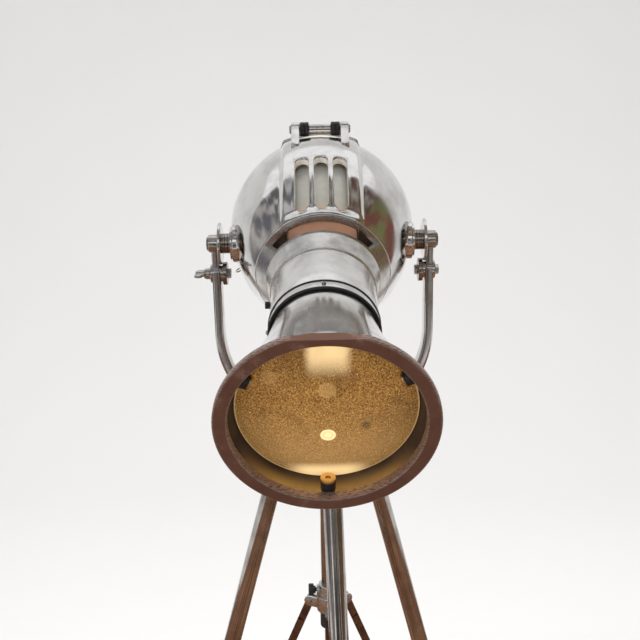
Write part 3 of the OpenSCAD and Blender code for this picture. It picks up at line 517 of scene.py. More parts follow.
def shell_rows():
    """Distances s of the rows, from the joint to the gate, dense round the slots' ends."""
    turn = np.linspace(0, 1.4, 7)
    ends = [SLOT_FROM - (SLOT_HALF + grow) * np.cos(turn) for grow in SLOT_LIP]
    ends += [SLOT_TO + (SLOT_HALF + grow) * np.cos(turn) for grow in SLOT_LIP]
    rows = np.concatenate([[-74, -73.7, -73.2, -72.5], np.linspace(-71, 0, 32),
                           np.linspace(1, GATE_S - EDGE_ROUND, 52), *ends,
                           GATE_S - EDGE_ROUND * (1 - np.sin(np.linspace(0.3, 1.57, 4)))])
    rows = np.sort(rows)
    return rows[np.concatenate([[True], np.diff(rows) > 0.02])]


def past_edge(distance):
    """How far a rounded edge lies below its surface, at a distance from the edge."""
    left = np.clip(EDGE_ROUND - distance, 0, EDGE_ROUND)
    return EDGE_ROUND - np.sqrt(EDGE_ROUND ** 2 - left ** 2)


def panel_rise(x, s):
    """Height of the panel above the shell: eased sides, a fading front, slot lips."""
    body = PANEL_RISE * eased(PANEL_HALF - np.abs(x), 0, 5.5) * (1 - 0.75 * eased(s, 79, 86.5))
    nearest = np.full(np.broadcast(x, s).shape, 99.0)
    past = np.maximum(np.maximum(SLOT_FROM - s, s - SLOT_TO), 0)
    for i in (-1, 0, 1):
        nearest = np.minimum(nearest, np.hypot(x - i * SLOT_PITCH, past) - SLOT_HALF)
    return body + np.interp(nearest, SLOT_LIP, LIP_HEIGHT)


def panel_lanes(s):
    """x of the panel's columns: fixed at its sides, bundled round each slot."""
    side = np.array([54.0, 53.4, 52.6, 51.6, 50.4, 49.2, 48.0, 45.5, 42.5, 39.5])
    lanes = [-x + 0 * s for x in side]
    for i in (-1, 0, 1):
        lanes += [i * SLOT_PITCH - slot_half(s, grow) for grow in SLOT_LIP[::-1]]
        lanes += [i * SLOT_PITCH + slot_half(s, grow) for grow in SLOT_LIP]
        if i < 1:
            lanes.append((i + 0.5) * SLOT_PITCH + 0 * s)
    return np.hstack(lanes + [x + 0 * s for x in side[::-1]])


def shell_skin(wall):
    """Points of the front shell's outside (wall 0) or of its inside.

    Columns: the panel's lie at fixed x and the others go round by equal angles.
    Rows: fixed s in front, and stretched to the slanting joint behind.
    """
    s = shell_rows()[:, None]
    x = panel_lanes(s)
    outside = 1.0 if wall == 0 else 0.0
    top = np.sqrt(house_r(s) ** 2 - x ** 2)
    cut = -SPLIT_BACK - SPLIT_LEAN * top
    s_panel = np.where(s < 0, cut * s / s.min(), s + 0 * x)
    r = house_r(s_panel, -wall) + outside * panel_rise(x, s_panel)
    from_joint = s_panel - cut
    r = r - outside * (past_edge(from_joint) + past_edge(GATE_S - s_panel))
    panel = np.stack([x, -s_panel, np.sqrt(r ** 2 - x ** 2)], -1)
    edge_s = s_panel[:, -1:]
    half = np.arcsin(PANEL_HALF / house_r(edge_s))
    turn = np.linspace(0, 1, 170)[None, 1:-1]
    angle = math.pi / 2 - half - turn * 2 * (math.pi - half)
    start = joint_s(angle)
    s_side = start + (edge_s - edge_s[0]) / (GATE_S - edge_s[0]) * (GATE_S - start)
    r = house_r(s_side, -wall)
    r = r - outside * (past_edge(s_side - start) + past_edge(GATE_S - s_side))
    side = np.stack([r * np.cos(angle), -s_side, r * np.sin(angle)], -1)
    skin = np.hstack([panel, side])
    if wall:
        skin[..., 1] = np.maximum(skin[..., 1], wall - GATE_S)
    return skin


def shell_parts():
    """The shell as one closed wall: two skins, the slots' sides, joint and gate rings."""
    outer, inner = shell_skin(0.0), shell_skin(SHELL_WALL)
    rows, columns = outer.shape[:2]
    s = shell_rows()
    start = 10 + len(SLOT_LIP) - 1
    hole_left = [start + i * (2 * len(SLOT_LIP) + 1) for i in range(3)]
    keep = np.ones((rows - 1, columns), bool)
    keep[:, hole_left] = False
    faces = grid_faces(rows, columns, wrap_columns=True)[keep.ravel()]
    parts = [(outer.reshape(-1, 3), faces), (inner.reshape(-1, 3), faces)]
    open_rows = np.nonzero(np.maximum(slot_half(s[:-1], 0), slot_half(s[1:], 0)) > 0)[0]
    for left in hole_left:
        for column in (left, left + 1):
            band = slice(open_rows[0], open_rows[-1] + 2)
            parts.append(sheet_part(np.stack([outer[band, column], inner[band, column]], 0)))
    gate = outer[-1]
    angle = np.arctan2(gate[:, 2], gate[:, 0])
    rings = [gate]
    for r, depth in ((GATE_HOLE_R + 0.8, GATE_S), (GATE_HOLE_R, GATE_S - 0.8),
                     (GATE_HOLE_R, GATE_S - SHELL_WALL)):
        rings.append(np.stack([r * np.cos(angle), 0 * angle - depth, r * np.sin(angle)], -1))
    rings.append(inner[-1])
    parts.append(sheet_part(np.stack(rings), wrap_columns=True))
    parts.append(sheet_part(np.stack([inner[0], outer[0]]), wrap_columns=True))
    return parts


def boss_part():
    """Round boss for the trunnion, turned about x, on the right side."""
    profile = rounded([(8, 112), (BOSS_R, 112), (BOSS_R, BOSS_FACE - 3), (BOSS_R - 4, BOSS_FACE - 3),
                       (BOSS_R - 4, BOSS_FACE), (8, BOSS_FACE), (8, 112)],
                      (0, 0, 1.8, 0.7, 0.9, 0.5, 0))
    return placed(turned(profile, 96), along_x)


def prism(outline, start, end, bevel=0.8, steps=3):
    """A closed outline [(y, z)] drawn out along x from start to end, its edges rounded.

    Each ring near an end is the outline moved inwards along its own normals.
    """
    outline = np.asarray(outline, float)
    ahead, behind = np.roll(outline, -1, 0) - outline, outline - np.roll(outline, 1, 0)
    along = ahead / np.linalg.norm(ahead, axis=1)[:, None] + behind / np.linalg.norm(behind, axis=1)[:, None]
    along /= np.linalg.norm(along, axis=1)[:, None]
    x, y = outline.T
    inwards = np.stack([-along[:, 1], along[:, 0]], -1)
    if (x * np.roll(y, -1) - y * np.roll(x, -1)).sum() < 0:
        inwards = -inwards
    t = np.linspace(0, math.pi / 2, steps + 1)
    inset = np.concatenate([bevel * (1 - np.sin(t)), bevel * (1 - np.sin(t[::-1]))])
    place = np.concatenate([start + bevel * (1 - np.cos(t)), end - bevel * (1 - np.cos(t[::-1]))])
    rings = outline[None] + inset[:, None, None] * inwards[None]
    points = np.concatenate([place[:, None, None] + 0 * rings[..., :1], rings], -1)
    count = len(outline)
    flat, faces = sheet_part(points, wrap_columns=True)
    caps = [list(range(count)), list(range((len(place) - 1) * count, len(place) * count))]
    return flat, [*faces.tolist(), *caps]


def arc(centre, radius, start, end, count=12):
    """Points of an arc, by angles in degrees."""
    t = np.radians(np.linspace(start, end, count))
    return np.stack([centre[0] + radius * np.cos(t), centre[1] + radius * np.sin(t)], -1)


# Two outer hinge lugs stand on the shell's rear edge and carry the pin. Each is a
# turned barrel with two grooves, on an arm from the shell.
HINGE = (80.0, 131.0)
LUG_R = 9.5
LUG_W = 12.0
LUG_INNER = 15.0
LUG_OUTER = LUG_INNER + LUG_W + 0.3
HINGE_PIN_R = 4.0


def grooved(r, start, end, grooves, depth=0.7, half=0.45):
    """Points of a shaft's side from start to end, with V grooves at the given places."""
    points = [(r, start)]
    for place in grooves:
        points += [(r, place - half), (r - depth, place), (r, place + half)]
    return [*points, (r, end)]


def barrel(start, end, grooves, bore=HINGE_PIN_R):
    """A lug's eye: a ring about the hinge pin with round edges and V grooves."""
    side = grooved(LUG_R, start + 1.1, end - 1.1, grooves, 0.8, 0.6)
    profile = [(bore, start), (LUG_R - 1.1, start), (LUG_R - 0.35, start + 0.35), *side,
               (LUG_R - 0.35, end - 0.35), (LUG_R - 1.1, end), (bore, end)]
    return placed(turned(profile, 96), along_x, shifted(0, *HINGE))


lug_arm = np.vstack([arc(HINGE, LUG_R - 0.8, -95, 78, 28),
                     [(34, 130.6), (26, 125.0), (30, 117.5), (68, 110.0)]])
LUG_GROOVES = (LUG_OUTER + 3.4, LUG_OUTER + LUG_W - 3.4)


def metal(name, colour, dull, smooth, rough, wave=0.3, cloud=26.0, turned_lines=0.0):
    """A worked metal. Clouds of wear go from colour and smooth to dull and rough.

    wave: how far the polished surface undulates. turned_lines: how deep the fine
    lines are that a lathe leaves round the beam's axis.
    """
    finish = Finish(name)
    clouds = finish.clouds(cloud)
    grain = finish.noise(520.0, 2.0, 0.6)
    height = finish.noise(17.0, 1.0, 0.4) * wave + grain * 0.012
    shine = clouds * (rough - smooth) + grain.step(0.35, 0.75, smooth, smooth + 0.03)
    if turned_lines:
        _, forwards, _ = finish.head()
        lines = finish.turned_lines(forwards, 1.7, 0.75)
        height = height + lines * turned_lines
        shine = shine + lines.step(0.3, 0.8, 0.0, 0.1)
    return finish.surface(Base_Color=blend(clouds, colour, dull), Metallic=1.0, Roughness=shine,
                          Normal=finish.bump(height))


def shell_metal():
    """Polished outside, and pale raw casting on the side walls of the vent slots."""
    finish = Finish("polished_shell")
    x, s, z = finish.head()
    clouds = finish.clouds(26.0)
    grain = finish.noise(520.0, 2.0, 0.6)
    off_centre = s - float(NOSE_CENTRE[1])
    nose = (NOSE_R ** 2 - off_centre * off_centre) ** 0.5 + float(NOSE_CENTRE[0] + PANEL_RISE)
    in_panel = x.size().step(36, 35) * s.step(84, 83) * z.step(30, 40)
    raw = (nose - hypot(x, z)).step(1.8, 2.8) * in_panel
    return finish.surface(
        Base_Color=blend(raw, blend(clouds, (0.83, 0.825, 0.81), (0.62, 0.61, 0.6)), (0.86, 0.8, 0.72)),
        Metallic=raw.step(0, 1, 1.0, 0.2),
        Roughness=clouds * 0.1 + raw * 0.5 + grain.step(0.35, 0.75, 0.07, 0.1),
        Normal=finish.bump(finish.noise(17.0, 1.0, 0.4) * 0.55 + grain * 0.012))


polished_metal = metal("polished_casting", (0.83, 0.825, 0.81), (0.62, 0.61, 0.6), 0.07, 0.17, 0.55)
lug_parts = [prism(lug_arm, LUG_OUTER + 0.4, LUG_OUTER + LUG_W - 0.4, 1.3),
             barrel(LUG_OUTER, LUG_OUTER + LUG_W, LUG_GROOVES)]
piece("front_shell_casting", [*shell_parts(), *both_sides(boss_part()), *both_sides(*lug_parts)],
      shell_metal(), "head", "polished_aluminium", "front_shell", at=[in_head])


# ---------------------------------------------------------------- gate collar
# The cap in front of the shell: a polished casting that goes on with the shell's
# curve, then runs straight to the neck. A crescent slot for framing plates cuts it.
NECK_R = 66.0
GATE_END = 131.0
COLLAR_WALL = 6.5
SLOT_FLOOR = 46.0
CUT_FROM, CUT_TO = GATE_S + 1.5, GATE_S + 17.5
CAP_END = CUT_TO + 2


def opening_walls(outside, inside, rows, columns):
    """The four sides of an opening between two skins, given its end rows and columns."""
    down, across = slice(rows[0], rows[1] + 1), slice(columns[0], columns[1] + 1)
    places = [(down, column) for column in columns] + [(row, across) for row in rows]
    return [sheet_part(np.stack([outside[place], inside[place]])) for place in places]


def windowed(outer, inner, first, last, span, window_lanes=48, other_lanes=150):
    """A turned wall with a window in it, as one closed part.

    outer, inner: profiles [(r, s)] with the same number of rows, joined at both ends.
    The window takes the rows first to last and the angles span(r) = (start, end).
    """
    def skin(profile):
        r, s = profile[:, :1], profile[:, 1:]
        start, end = span(r)
        across = start + (end - start) * 0.5 * (1 - np.cos(np.linspace(0, math.pi, window_lanes + 1)))
        t = np.linspace(-1, 1, other_lanes + 1)[None, 1:-1]
        around = end + (2 * math.pi - end + start) * 0.5 * (1 + np.sin(t * math.pi / 2) * 0.35 + t * 0.65)
        angle = np.hstack([across, around])
        return np.stack([r * np.cos(angle), -s + 0 * angle, r * np.sin(angle)], -1)

    outside, inside = skin(outer), skin(inner)
    rows, columns = outside.shape[:2]
    keep = np.ones((rows - 1, columns), bool)
    keep[first:last, :window_lanes] = False
    faces = grid_faces(rows, columns, wrap_columns=True)[keep.ravel()]
    parts = [(outside.reshape(-1, 3), faces), (inside.reshape(-1, 3), faces)]
    parts += opening_walls(outside, inside, (first, last), (0, window_lanes))
    for row in (0, rows - 1):
        parts.append(sheet_part(np.stack([outside[row], inside[row]]), wrap_columns=True))
    return parts


def collar_cut(r):
    """Angles where the flat floor of the crescent cut meets a ring of radius r."""
    start = np.arcsin(SLOT_FLOOR / r)
    return start, math.pi - start


cut_s = np.linspace(CUT_FROM, CUT_TO, 12)
cap_r = float(house_r(CAP_END))
collar_outer = np.vstack([
    [(GATE_R - 1.2, GATE_S), (GATE_R - 0.5, GATE_S + 0.3), (float(house_r(GATE_S + 0.9)), GATE_S + 0.9)],
    np.stack([house_r(cut_s), cut_s], -1),
    rounded([(float(house_r(CUT_TO + 0.6)), CUT_TO + 0.6), (cap_r, CAP_END), (NECK_R + 1.2, GATE_END)],
            8.0, 6),
    [(NECK_R, GATE_END)]])
CUT_ROWS = (3, 14)
collar_inner = collar_outer.copy()
collar_inner[:, 0] = np.interp(collar_outer[:, 1], (GATE_S, GATE_S + 3, CAP_END + 1, GATE_END - 6, GATE_END),
                               (GATE_R - 9, GATE_R - 9, cap_r - COLLAR_WALL, NECK_R, NECK_R))
polished_ring_metal = metal("polished_ring", (0.8, 0.795, 0.78), (0.6, 0.59, 0.58), 0.09, 0.2, 0.2)
collar_metal = metal("collar_casting", (0.7, 0.69, 0.67), (0.5, 0.49, 0.47), 0.14, 0.26, 0.2, 40.0, 0.02)
piece("gate_collar_ring", windowed(collar_outer, collar_inner, *CUT_ROWS, collar_cut),
      collar_metal, "head", "polished_aluminium", "gate_collar", at=[in_head], crease=30)


# ---------------------------------------------------------------- gate plate
# A brass-brown plate behind the crescent cut, with two bright guide rails. Between the rails the plate
# carries a painted warm glow; outside them its colour is darker.
GATE_PLATE = (80.5, 83.0)
PLATE_HOLE_R, PLATE_R = 38, 82
RAIL_X = 44.0
gate_brass = Finish("gate_brass")
plate_x, _, _ = gate_brass.head()
between_rails = plate_x.size().step(RAIL_X - 1, RAIL_X + 1, 1.0, 0.0)
stains = gate_brass.noise(60.0, 4.0)
# The emission between the rails is a painted glow, not light from a lamp.
gate_plate_brass_and_painted_glow = gate_brass.surface(
    Base_Color=blend(between_rails, (0.13, 0.08, 0.06), blend(stains, (0.7, 0.44, 0.31), (0.48, 0.27, 0.17))),
    Metallic=0.3, Roughness=stains.step(0.2, 0.8, 0.35, 0.55),
    Emission_Color=blend(between_rails, (0, 0, 0), (0.14, 0.07, 0.045)), Emission_Strength=1.0)
piece("gate_plate_disc", [ring(PLATE_HOLE_R, PLATE_R, *GATE_PLATE, 0.5, 128)],
      gate_plate_brass_and_painted_glow, "head", "brass", "gate_plate", at=[on_beam, in_head])
rail_outline = [(-GATE_PLATE[1], 40), (-GATE_PLATE[1], 68), (-GATE_S - 2, 68), (-GATE_S - 2, 40)]
rail = prism(rail_outline, RAIL_X - 1.6, RAIL_X + 1.6, 0.5)
piece("gate_rails", both_sides(rail),
      polished_ring_metal, "head", "satin_aluminium", at=[in_head])


# ---------------------------------------------------------------- neck tube
# A satin turned tube with a bead at its root and a slot for the focus screw.
NECK_IN_R = NECK_R - 3.4
NECK_START = GATE_END - 6
NECK_END = 205.0
FOCUS_S = 156.0
FOCUS_TRAVEL = 30.0
SLOT_HALF_W = 2.8


def focus_slot(r):
    """First and last angle of the screw's slot at radius r: half width over radius."""
    half = np.arcsin(SLOT_HALF_W / r)
    return math.pi - half, math.pi + half


bead = arc((NECK_R - 0.1, GATE_END + 1.9), 1.95, -75, 75, 12)
neck_outer = np.vstack([
    [(NECK_R, NECK_START), (NECK_R, GATE_END - 0.5)], bead,
    [(NECK_R, GATE_END + 4.4)],
    np.stack([np.full(6, NECK_R), np.linspace(GATE_END + 8, FOCUS_S - SLOT_HALF_W, 6)], -1),
    np.stack([np.full(8, NECK_R), np.linspace(FOCUS_S, FOCUS_S + FOCUS_TRAVEL + SLOT_HALF_W, 8)], -1),
    [(NECK_R, NECK_END - 1), (NECK_R - 0.3, NECK_END - 0.3), (NECK_R - 1, NECK_END)]])
neck_inner = neck_outer.copy()
neck_inner[:, 0] = NECK_IN_R
satin_metal = metal("satin_aluminium", (0.84, 0.835, 0.82), (0.66, 0.65, 0.64), 0.16, 0.26, 0.12, 34.0, 0.03)
piece("neck_turned_tube", windowed(neck_outer, neck_inner, 20, 28, focus_slot, 4, 180),
      satin_metal, "head", "satin_aluminium", "neck_tube", at=[in_head], crease=30)


# ---------------------------------------------------------------- clamp band
# The split band that closes the neck's end, between two black rings, with a slotted screw on top and one at
# its left. The rings are partly rubber and partly painted shade: they fill the dark gaps beside the band.
RING_R = 1.9
BAND_START = NECK_END + 2 * RING_R
BAND_W = 11.0
BAND_END = BAND_START + BAND_W
BAND_R = NECK_R + 0.6
SLEEVE_R = NECK_IN_R - RUN
band = ring(NECK_IN_R, BAND_R, BAND_START, BAND_END, (0, 0.9, 0.9, 0.4, 0), 160)
piece("clamp_band_ring", [band],
      polished_ring_metal, "head", "polished_aluminium", "clamp_band", at=[on_beam, in_head])
black_rubber_look = Finish("black_rubber").surface(Base_Color=(0.012, 0.012, 0.013), Roughness=0.38)
ring_at = NECK_R - 0.4
# Near-black rings in the gaps beside the band: partly rubber, partly painted shade.
piece("band_rubber_rings",
      [placed(turned(arc((ring_at, s), RING_R, 0, 342, 20), 160), on_beam)
       for s in (NECK_END + RING_R, BAND_END + RING_R)],
      black_rubber_look, "head", "rubber", "band_rings", at=[in_head])


# ---------------------------------------------------------------- flared hood
# A spun flare on the sliding lens sleeve, polished outside and dark inside.
HOOD_START = BAND_END + 2 * RING_R + 0.3
RIM_S = 386.0
RIM_R = 118.6
RIM_T = 12.0
RIM_LIP = 15.6
RIM_FLAT = 7.0
HOOD_END = RIM_S - RIM_T
HOOD_ROOT_R = 64.0
HOOD_POWER = 1.49
HOOD_WALL = 3.5


def hood_r(s):
    """Radius of the hood's outside: a power curve from its root to its rim."""
    along = (np.asarray(s, float) - HOOD_START) / (RIM_S - HOOD_START)
    return HOOD_ROOT_R + (RIM_R - HOOD_ROOT_R) * np.maximum(along, 0) ** HOOD_POWER


def hood_finish_metal():
    """Polished outside; the inside is dull and dark, with lamplight on its lower part."""
    finish = Finish("polished_flare")
    x, s, z = finish.head()
    along = (s - HOOD_START) / (RIM_S - HOOD_START)
    wall = along.math("MAXIMUM", 0.0) ** HOOD_POWER * (RIM_R - HOOD_ROOT_R) + HOOD_ROOT_R
    inside = (wall - hypot(x, z)).step(1.2, 2.2)
    clouds = finish.clouds(30.0, 0.6)
    lines = finish.turned_lines(s, 0.9, 0.7)
    outside = blend(clouds, (0.84, 0.835, 0.825), (0.64, 0.63, 0.62))
    # The inside is coloured dark brown-black, much darker than the outside.
    inside_dark_colour = blend(clouds, (0.05, 0.035, 0.025), (0.1, 0.06, 0.035))
    shine = clouds.step(0.0, 1.0, 0.1, 0.2) + lines.step(0.3, 0.8, 0.0, 0.06)
    height = finish.noise(15.0, 1.0, 0.4) * 0.25 + lines * 0.02
    lamplit = inside * z.step(-40, -100) * s.step(354, 371) * clouds.step(0, 1, 1.0, 0.7)
    return finish.surface(Base_Color=blend(inside, outside, inside_dark_colour), Metallic=inside.step(0, 1, 1.0, 0.5),
                          Roughness=shine + inside * 0.25, Emission_Strength=1.0,
                          Emission_Color=blend(lamplit, (0, 0, 0), (0.3, 0.15, 0.03)),
                          Normal=finish.bump(height))


hood_s = HOOD_START + (HOOD_END - HOOD_START) * np.linspace(0, 1, 56) ** 1.2
hood_out = np.stack([hood_r(hood_s), hood_s], -1)
hood_in = np.stack([np.maximum(SLEEVE_R, hood_r(hood_s) - HOOD_WALL), hood_s], -1)[::-1]
hood_profile = np.vstack([hood_out, hood_in])


def flattened(points):
    """Cuts the top of a turned shape (axis z) down to the rim's flat."""
    flat = points.copy()
    flat[..., 1] = np.minimum(flat[..., 1], RIM_R - RIM_FLAT)
    return flat


hood_metal = hood_finish_metal()
piece("flared_hood_spinning", [turned(hood_profile, 256)],
      hood_metal, "lens_tube", "polished_aluminium", "flared_hood", at=[flattened, on_beam, in_head])
SLEEVE_WALL = 2.2
sleeve = ring(SLEEVE_R - SLEEVE_WALL, SLEEVE_R, GATE_END + 8, HOOD_START + 8, 0.4, 160)
piece("lens_sleeve_tube", [sleeve],
      black_rubber_look, "lens_tube", "dark_steel", "lens_sleeve", at=[on_beam, in_head])


# ---------------------------------------------------------------- front rim
# A heavy bronze-brown ring on the flare's mouth, cut flat on top. Its brown is partly the metal's own and
# partly a painted reflection of the wooden floor; its pale edges are partly wear and partly a painted
# highlight.
RIM_IN = RIM_R - RIM_LIP
rim_profile = rounded([(RIM_IN, HOOD_END), (float(hood_r(HOOD_END)), HOOD_END), (RIM_R, HOOD_END + 4),
                       (RIM_R, RIM_S), (RIM_IN, RIM_S), (RIM_IN, HOOD_END)],
                      (0, 0.6, 2.0, 2.2, 2.4, 0), 7)
bronze = Finish("bronze_rim")
rim_x, _, rim_z = bronze.head()
blotches = bronze.noise(34.0, 6.0, 0.65)
scuffs = bronze.noise(1.0, 4.0, 0.7, bronze.scaled(160, 160, 900))
from_axis = hypot(rim_x, rim_z)
# Pale outer and inner edges: partly rubbed wear, partly a painted highlight.
rubbed = (from_axis.step(RIM_R - 2.6, RIM_R - 0.4) + from_axis.step(RIM_IN + 2.2, RIM_IN + 0.6)) * \
    scuffs.step(0.35, 0.6)
worn = (rubbed + blotches.step(0.56, 0.76) * 0.45).math("MINIMUM", 1.0)
# The brown base colours are partly the metal's own and partly a painted reflection of the wooden floor.
rim_metal = bronze.surface(
    Base_Color=blend(worn, blend(blotches, (0.1, 0.045, 0.03), (0.22, 0.105, 0.07)), (0.46, 0.37, 0.33)),
    Metallic=worn * 0.4 + 0.5, Roughness=scuffs.step(0.3, 0.7, 0.34, 0.5),
    Normal=bronze.bump(blotches * 0.12 + scuffs * 0.05, 0.4, 0.0015))
piece("bronze_front_rim", [turned(rim_profile, 256)],
      rim_metal, "lens_tube", "rim_bronze", "front_rim", at=[flattened, on_beam, in_head])


# ---------------------------------------------------------------- lens
# One amber plano-convex lens, finely pitted, held in the flare by three posts. Its colour and emission carry
# painted light: a lighter lower part, ghost reflections, glints and glows.
LENS_R = 97.7
LENS_EDGE = 4.5
LENS_CURVE = 360.0
LENS_S = HOOD_START + (RIM_S - HOOD_START) * (
    (LENS_R + HOOD_WALL + 0.2 - HOOD_ROOT_R) / (RIM_R - HOOD_ROOT_R)) ** (1 / HOOD_POWER)
LENS_FRONT = LENS_S + LENS_EDGE


def lens_rise(r):
    """How far the curved front stands out in front of its edge."""
    return math.sqrt(LENS_CURVE ** 2 - r * r) - math.sqrt(LENS_CURVE ** 2 - LENS_R ** 2)


lens_half = math.degrees(math.asin(LENS_R / LENS_CURVE))
lens_profile = np.vstack([[(0.05, LENS_S), (LENS_R - 0.6, LENS_S), (LENS_R, LENS_S + 0.6)],
                          arc((0, LENS_FRONT + lens_rise(0) - LENS_CURVE), LENS_CURVE,
                              90 - lens_half, 89.99, 40)])
lens_finish = Finish("amber_lens")
lens_x, _, lens_z = lens_finish.head()


def lens_spot(x, z, radius, soft):
    """1 within a circle on the lens, fading over its last `soft` millimetres."""
    return hypot(lens_x - x, lens_z - z).step(radius, radius - soft)


specks = lens_finish.noise(1.0, 3.0, 0.7, lens_finish.scaled(620, 620, 420))
glints = lens_finish.noise(1.0, 1.0, 0.5, lens_finish.scaled(760, 760, 380)).step(0.66, 0.78)
murk = lens_finish.noise(22.0, 3.0, 0.6)
# lens_low paints the lower part lighter: painted light in the glass.
lens_low = lens_z.step(30, -75)
amber = blend(specks.step(0.34, 0.68), (0.13, 0.052, 0.012), (0.5, 0.26, 0.07))
amber = blend(murk.step(0.45, 0.7) * 0.55, amber, (0.1, 0.045, 0.015))
amber = blend(lens_low * 0.45, amber, (0.52, 0.31, 0.12))
# Painted ghost reflections: two lighter round spots.
painted_ghost_reflections = lens_spot(0.5, 33.6, 10.5, 2) * 0.4 + lens_spot(-58, 47, 10, 3) * 0.3
amber = blend(painted_ghost_reflections, amber, (0.55, 0.33, 0.12))
amber = blend(lens_spot(41, -15, 8, 6) * 0.7, amber, (0.07, 0.05, 0.03))
# Painted glints: bright specks in the colour.
amber = blend(glints * 0.8, amber, (0.95, 0.68, 0.34))
# Painted glows at the top, at the foot and round a bead; shown carries them into the colour and the emission.
glow = lens_z.step(44, 84) * (lens_x - 2).size().step(27, 15) * murk.step(0.3, 0.6, 0.7, 1.0)
low_glow = lens_spot(0, 0, 99, 2) * lens_z.step(-70, -88) * lens_x.size().step(52, 20)
bead_at = (0.8, -26.4)
bead_glow = (lens_spot(*bead_at, 8.9, 1.5) - lens_spot(*bead_at, 6.2, 1) * 0.3
             + lens_spot(*bead_at, 4.6, 1) * 0.3)
lens_edge = lens_spot(0, 0, 200, 1) - lens_spot(0, 0, 96.6, 0.8)
shown = (glow + low_glow + bead_glow).math("MINIMUM", 1.0)
amber = blend(lens_edge * 0.6, blend(shown, amber, (0.86, 0.66, 0.36)), (0.8, 0.55, 0.25))
# The emission is a painted glow: faint over all the glass, strong where the painted glows lie.
lens_look = lens_finish.surface(
    Base_Color=amber, Roughness=0.07, Emission_Strength=1.0,
    Emission_Color=blend(shown, blend(murk * 0.3 + 0.1, (0, 0, 0), amber), (0.6, 0.4, 0.18)),
    Normal=lens_finish.bump(specks, 0.12, 0.0006))
piece("amber_lens_disc", [turned(lens_profile, 192)],
      lens_look, "lens_tube", "amber_lens", "lens", at=[on_beam, in_head])


# ---------------------------------------------------------------- lens posts
# Three black rubber posts from the flare's wall, each with a brass cap.
POST_R = 8.5
POST_TOP = 90.0
POST_CAP = 2.5
POST_TURNS = (-90, 30, 150)
POST_S = LENS_FRONT + lens_rise(POST_TOP) + POST_R + 0.3


def outwards(angle, s, radius=0.0):
    """z to the direction at an angle round the beam, at s and a distance from its axis."""
    c, d = math.cos(math.radians(angle)), math.sin(math.radians(angle))

    def move(points):
        x, y, z = points[..., 0], points[..., 1], points[..., 2] + radius
        return np.stack([z * c - y * d, -s + x, z * d + y * c], -1)
    return move


def post_body():
    """Side and base of a post: the base follows the inside of the flare."""
    t = np.linspace(0, 2 * math.pi, 48, endpoint=False)
    r = np.array([0.05, POST_R - 1.2, POST_R - 0.3, POST_R, POST_R, 0.05])[:, None]
    z = np.array([POST_TOP + 2.5, POST_TOP + 2.5, POST_TOP + 2.8, POST_TOP + 3.6])[:, None] + 0 * t
    base = hood_r(POST_S - POST_R * np.cos(t)) - HOOD_WALL - 0.1
    middle = np.full(t.size, float(hood_r(POST_S)) - HOOD_WALL - 0.1)
    x, y = r * np.cos(t), r * np.sin(t)
    z = np.vstack([z, base, middle])
    return sheet_part(np.stack([x, y, z], -1), wrap_columns=True)


CAP_HOLE_R, CAP_HOLE_DEPTH = 3, 2.2
cap_profile = rounded([
    (0.05, POST_TOP + CAP_HOLE_DEPTH), (CAP_HOLE_R, POST_TOP + CAP_HOLE_DEPTH), (CAP_HOLE_R, POST_TOP),
    (POST_R, POST_TOP), (POST_R, POST_TOP + POST_CAP), (0.05, POST_TOP + POST_CAP)],
    (0, 0.3, 0.3, 0.7, 0.3, 0))
brass_metal = Finish("old_brass").surface(Base_Color=(0.75, 0.5, 0.22), Metallic=1.0, Roughness=0.3)
piece("lens_post_rubber_bodies", [placed(post_body(), outwards(a, POST_S)) for a in POST_TURNS],
      black_rubber_look, "lens_tube", "rubber", "lens_post_rubbers", at=[in_head])
piece("lens_post_brass_caps", [placed(turned(cap_profile, 48), outwards(a, POST_S)) for a in POST_TURNS],
      brass_metal, "lens_tube", "brass", "lens_post_caps", at=[in_head])


# ---------------------------------------------------------------- rear dome
# The back half of the lamp house: a polished hemisphere, hinged at its top,
# with a raised box that carries the two inner hinge lugs and three air slots.
JOINT_GAP = 0.6
BOX_RISE = 8.0
BOX_LOW = 78.0
AIR_HALF = 4.0
AIR_LOW, AIR_HIGH = 92.0, 106.0
BOX_ROUND = 3.0
RELIEF_R = LUG_R + 0.7
SPACER_R = LUG_R - 3


def dome_ball(radius, first=0.02, rows=90, columns=200):
    """Polar grid of the dome: the pole looks back, square to the slanting joint."""
    lean = math.atan(SPLIT_LEAN)
    to_joint = (DOME_BACK - SPLIT_BACK) * math.cos(lean) - JOINT_GAP
    polar = np.linspace(first, math.pi / 2 + math.asin(to_joint / radius), rows)[:, None]
    turn = np.linspace(0, 2 * math.pi, columns, endpoint=False)
    x, up = radius * np.sin(polar) * np.cos(turn), radius * np.sin(polar) * np.sin(turn)
    back = radius * np.cos(polar) + 0 * turn
    y = DOME_BACK + back * math.cos(lean) + up * math.sin(lean)
    z = -back * math.sin(lean) + up * math.cos(lean)
    return np.stack([x, y, z], -1)


def dome_parts():
    """Two skins, left open under the box, and the ring at the joint."""
    outer, inner = dome_ball(DOME_R), dome_ball(DOME_R - SHELL_WALL)
    rows, columns = outer.shape[:2]
    faces = grid_faces(rows, columns, wrap_columns=True)
    parts = []
    for skin in (outer, inner):
        flat = skin.reshape(-1, 3)
        middle = flat[faces].mean(axis=1)
        under = (np.abs(middle[:, 0]) < PANEL_HALF - 4) & (middle[:, 2] > BOX_LOW + 5)
        kept = [face.tolist() for face, hidden in zip(faces, under) if not hidden]
        parts.append((flat, [*kept, list(range(columns))]))
    parts.append(sheet_part(np.stack([outer[-1], inner[-1]]), wrap_columns=True))
    return parts


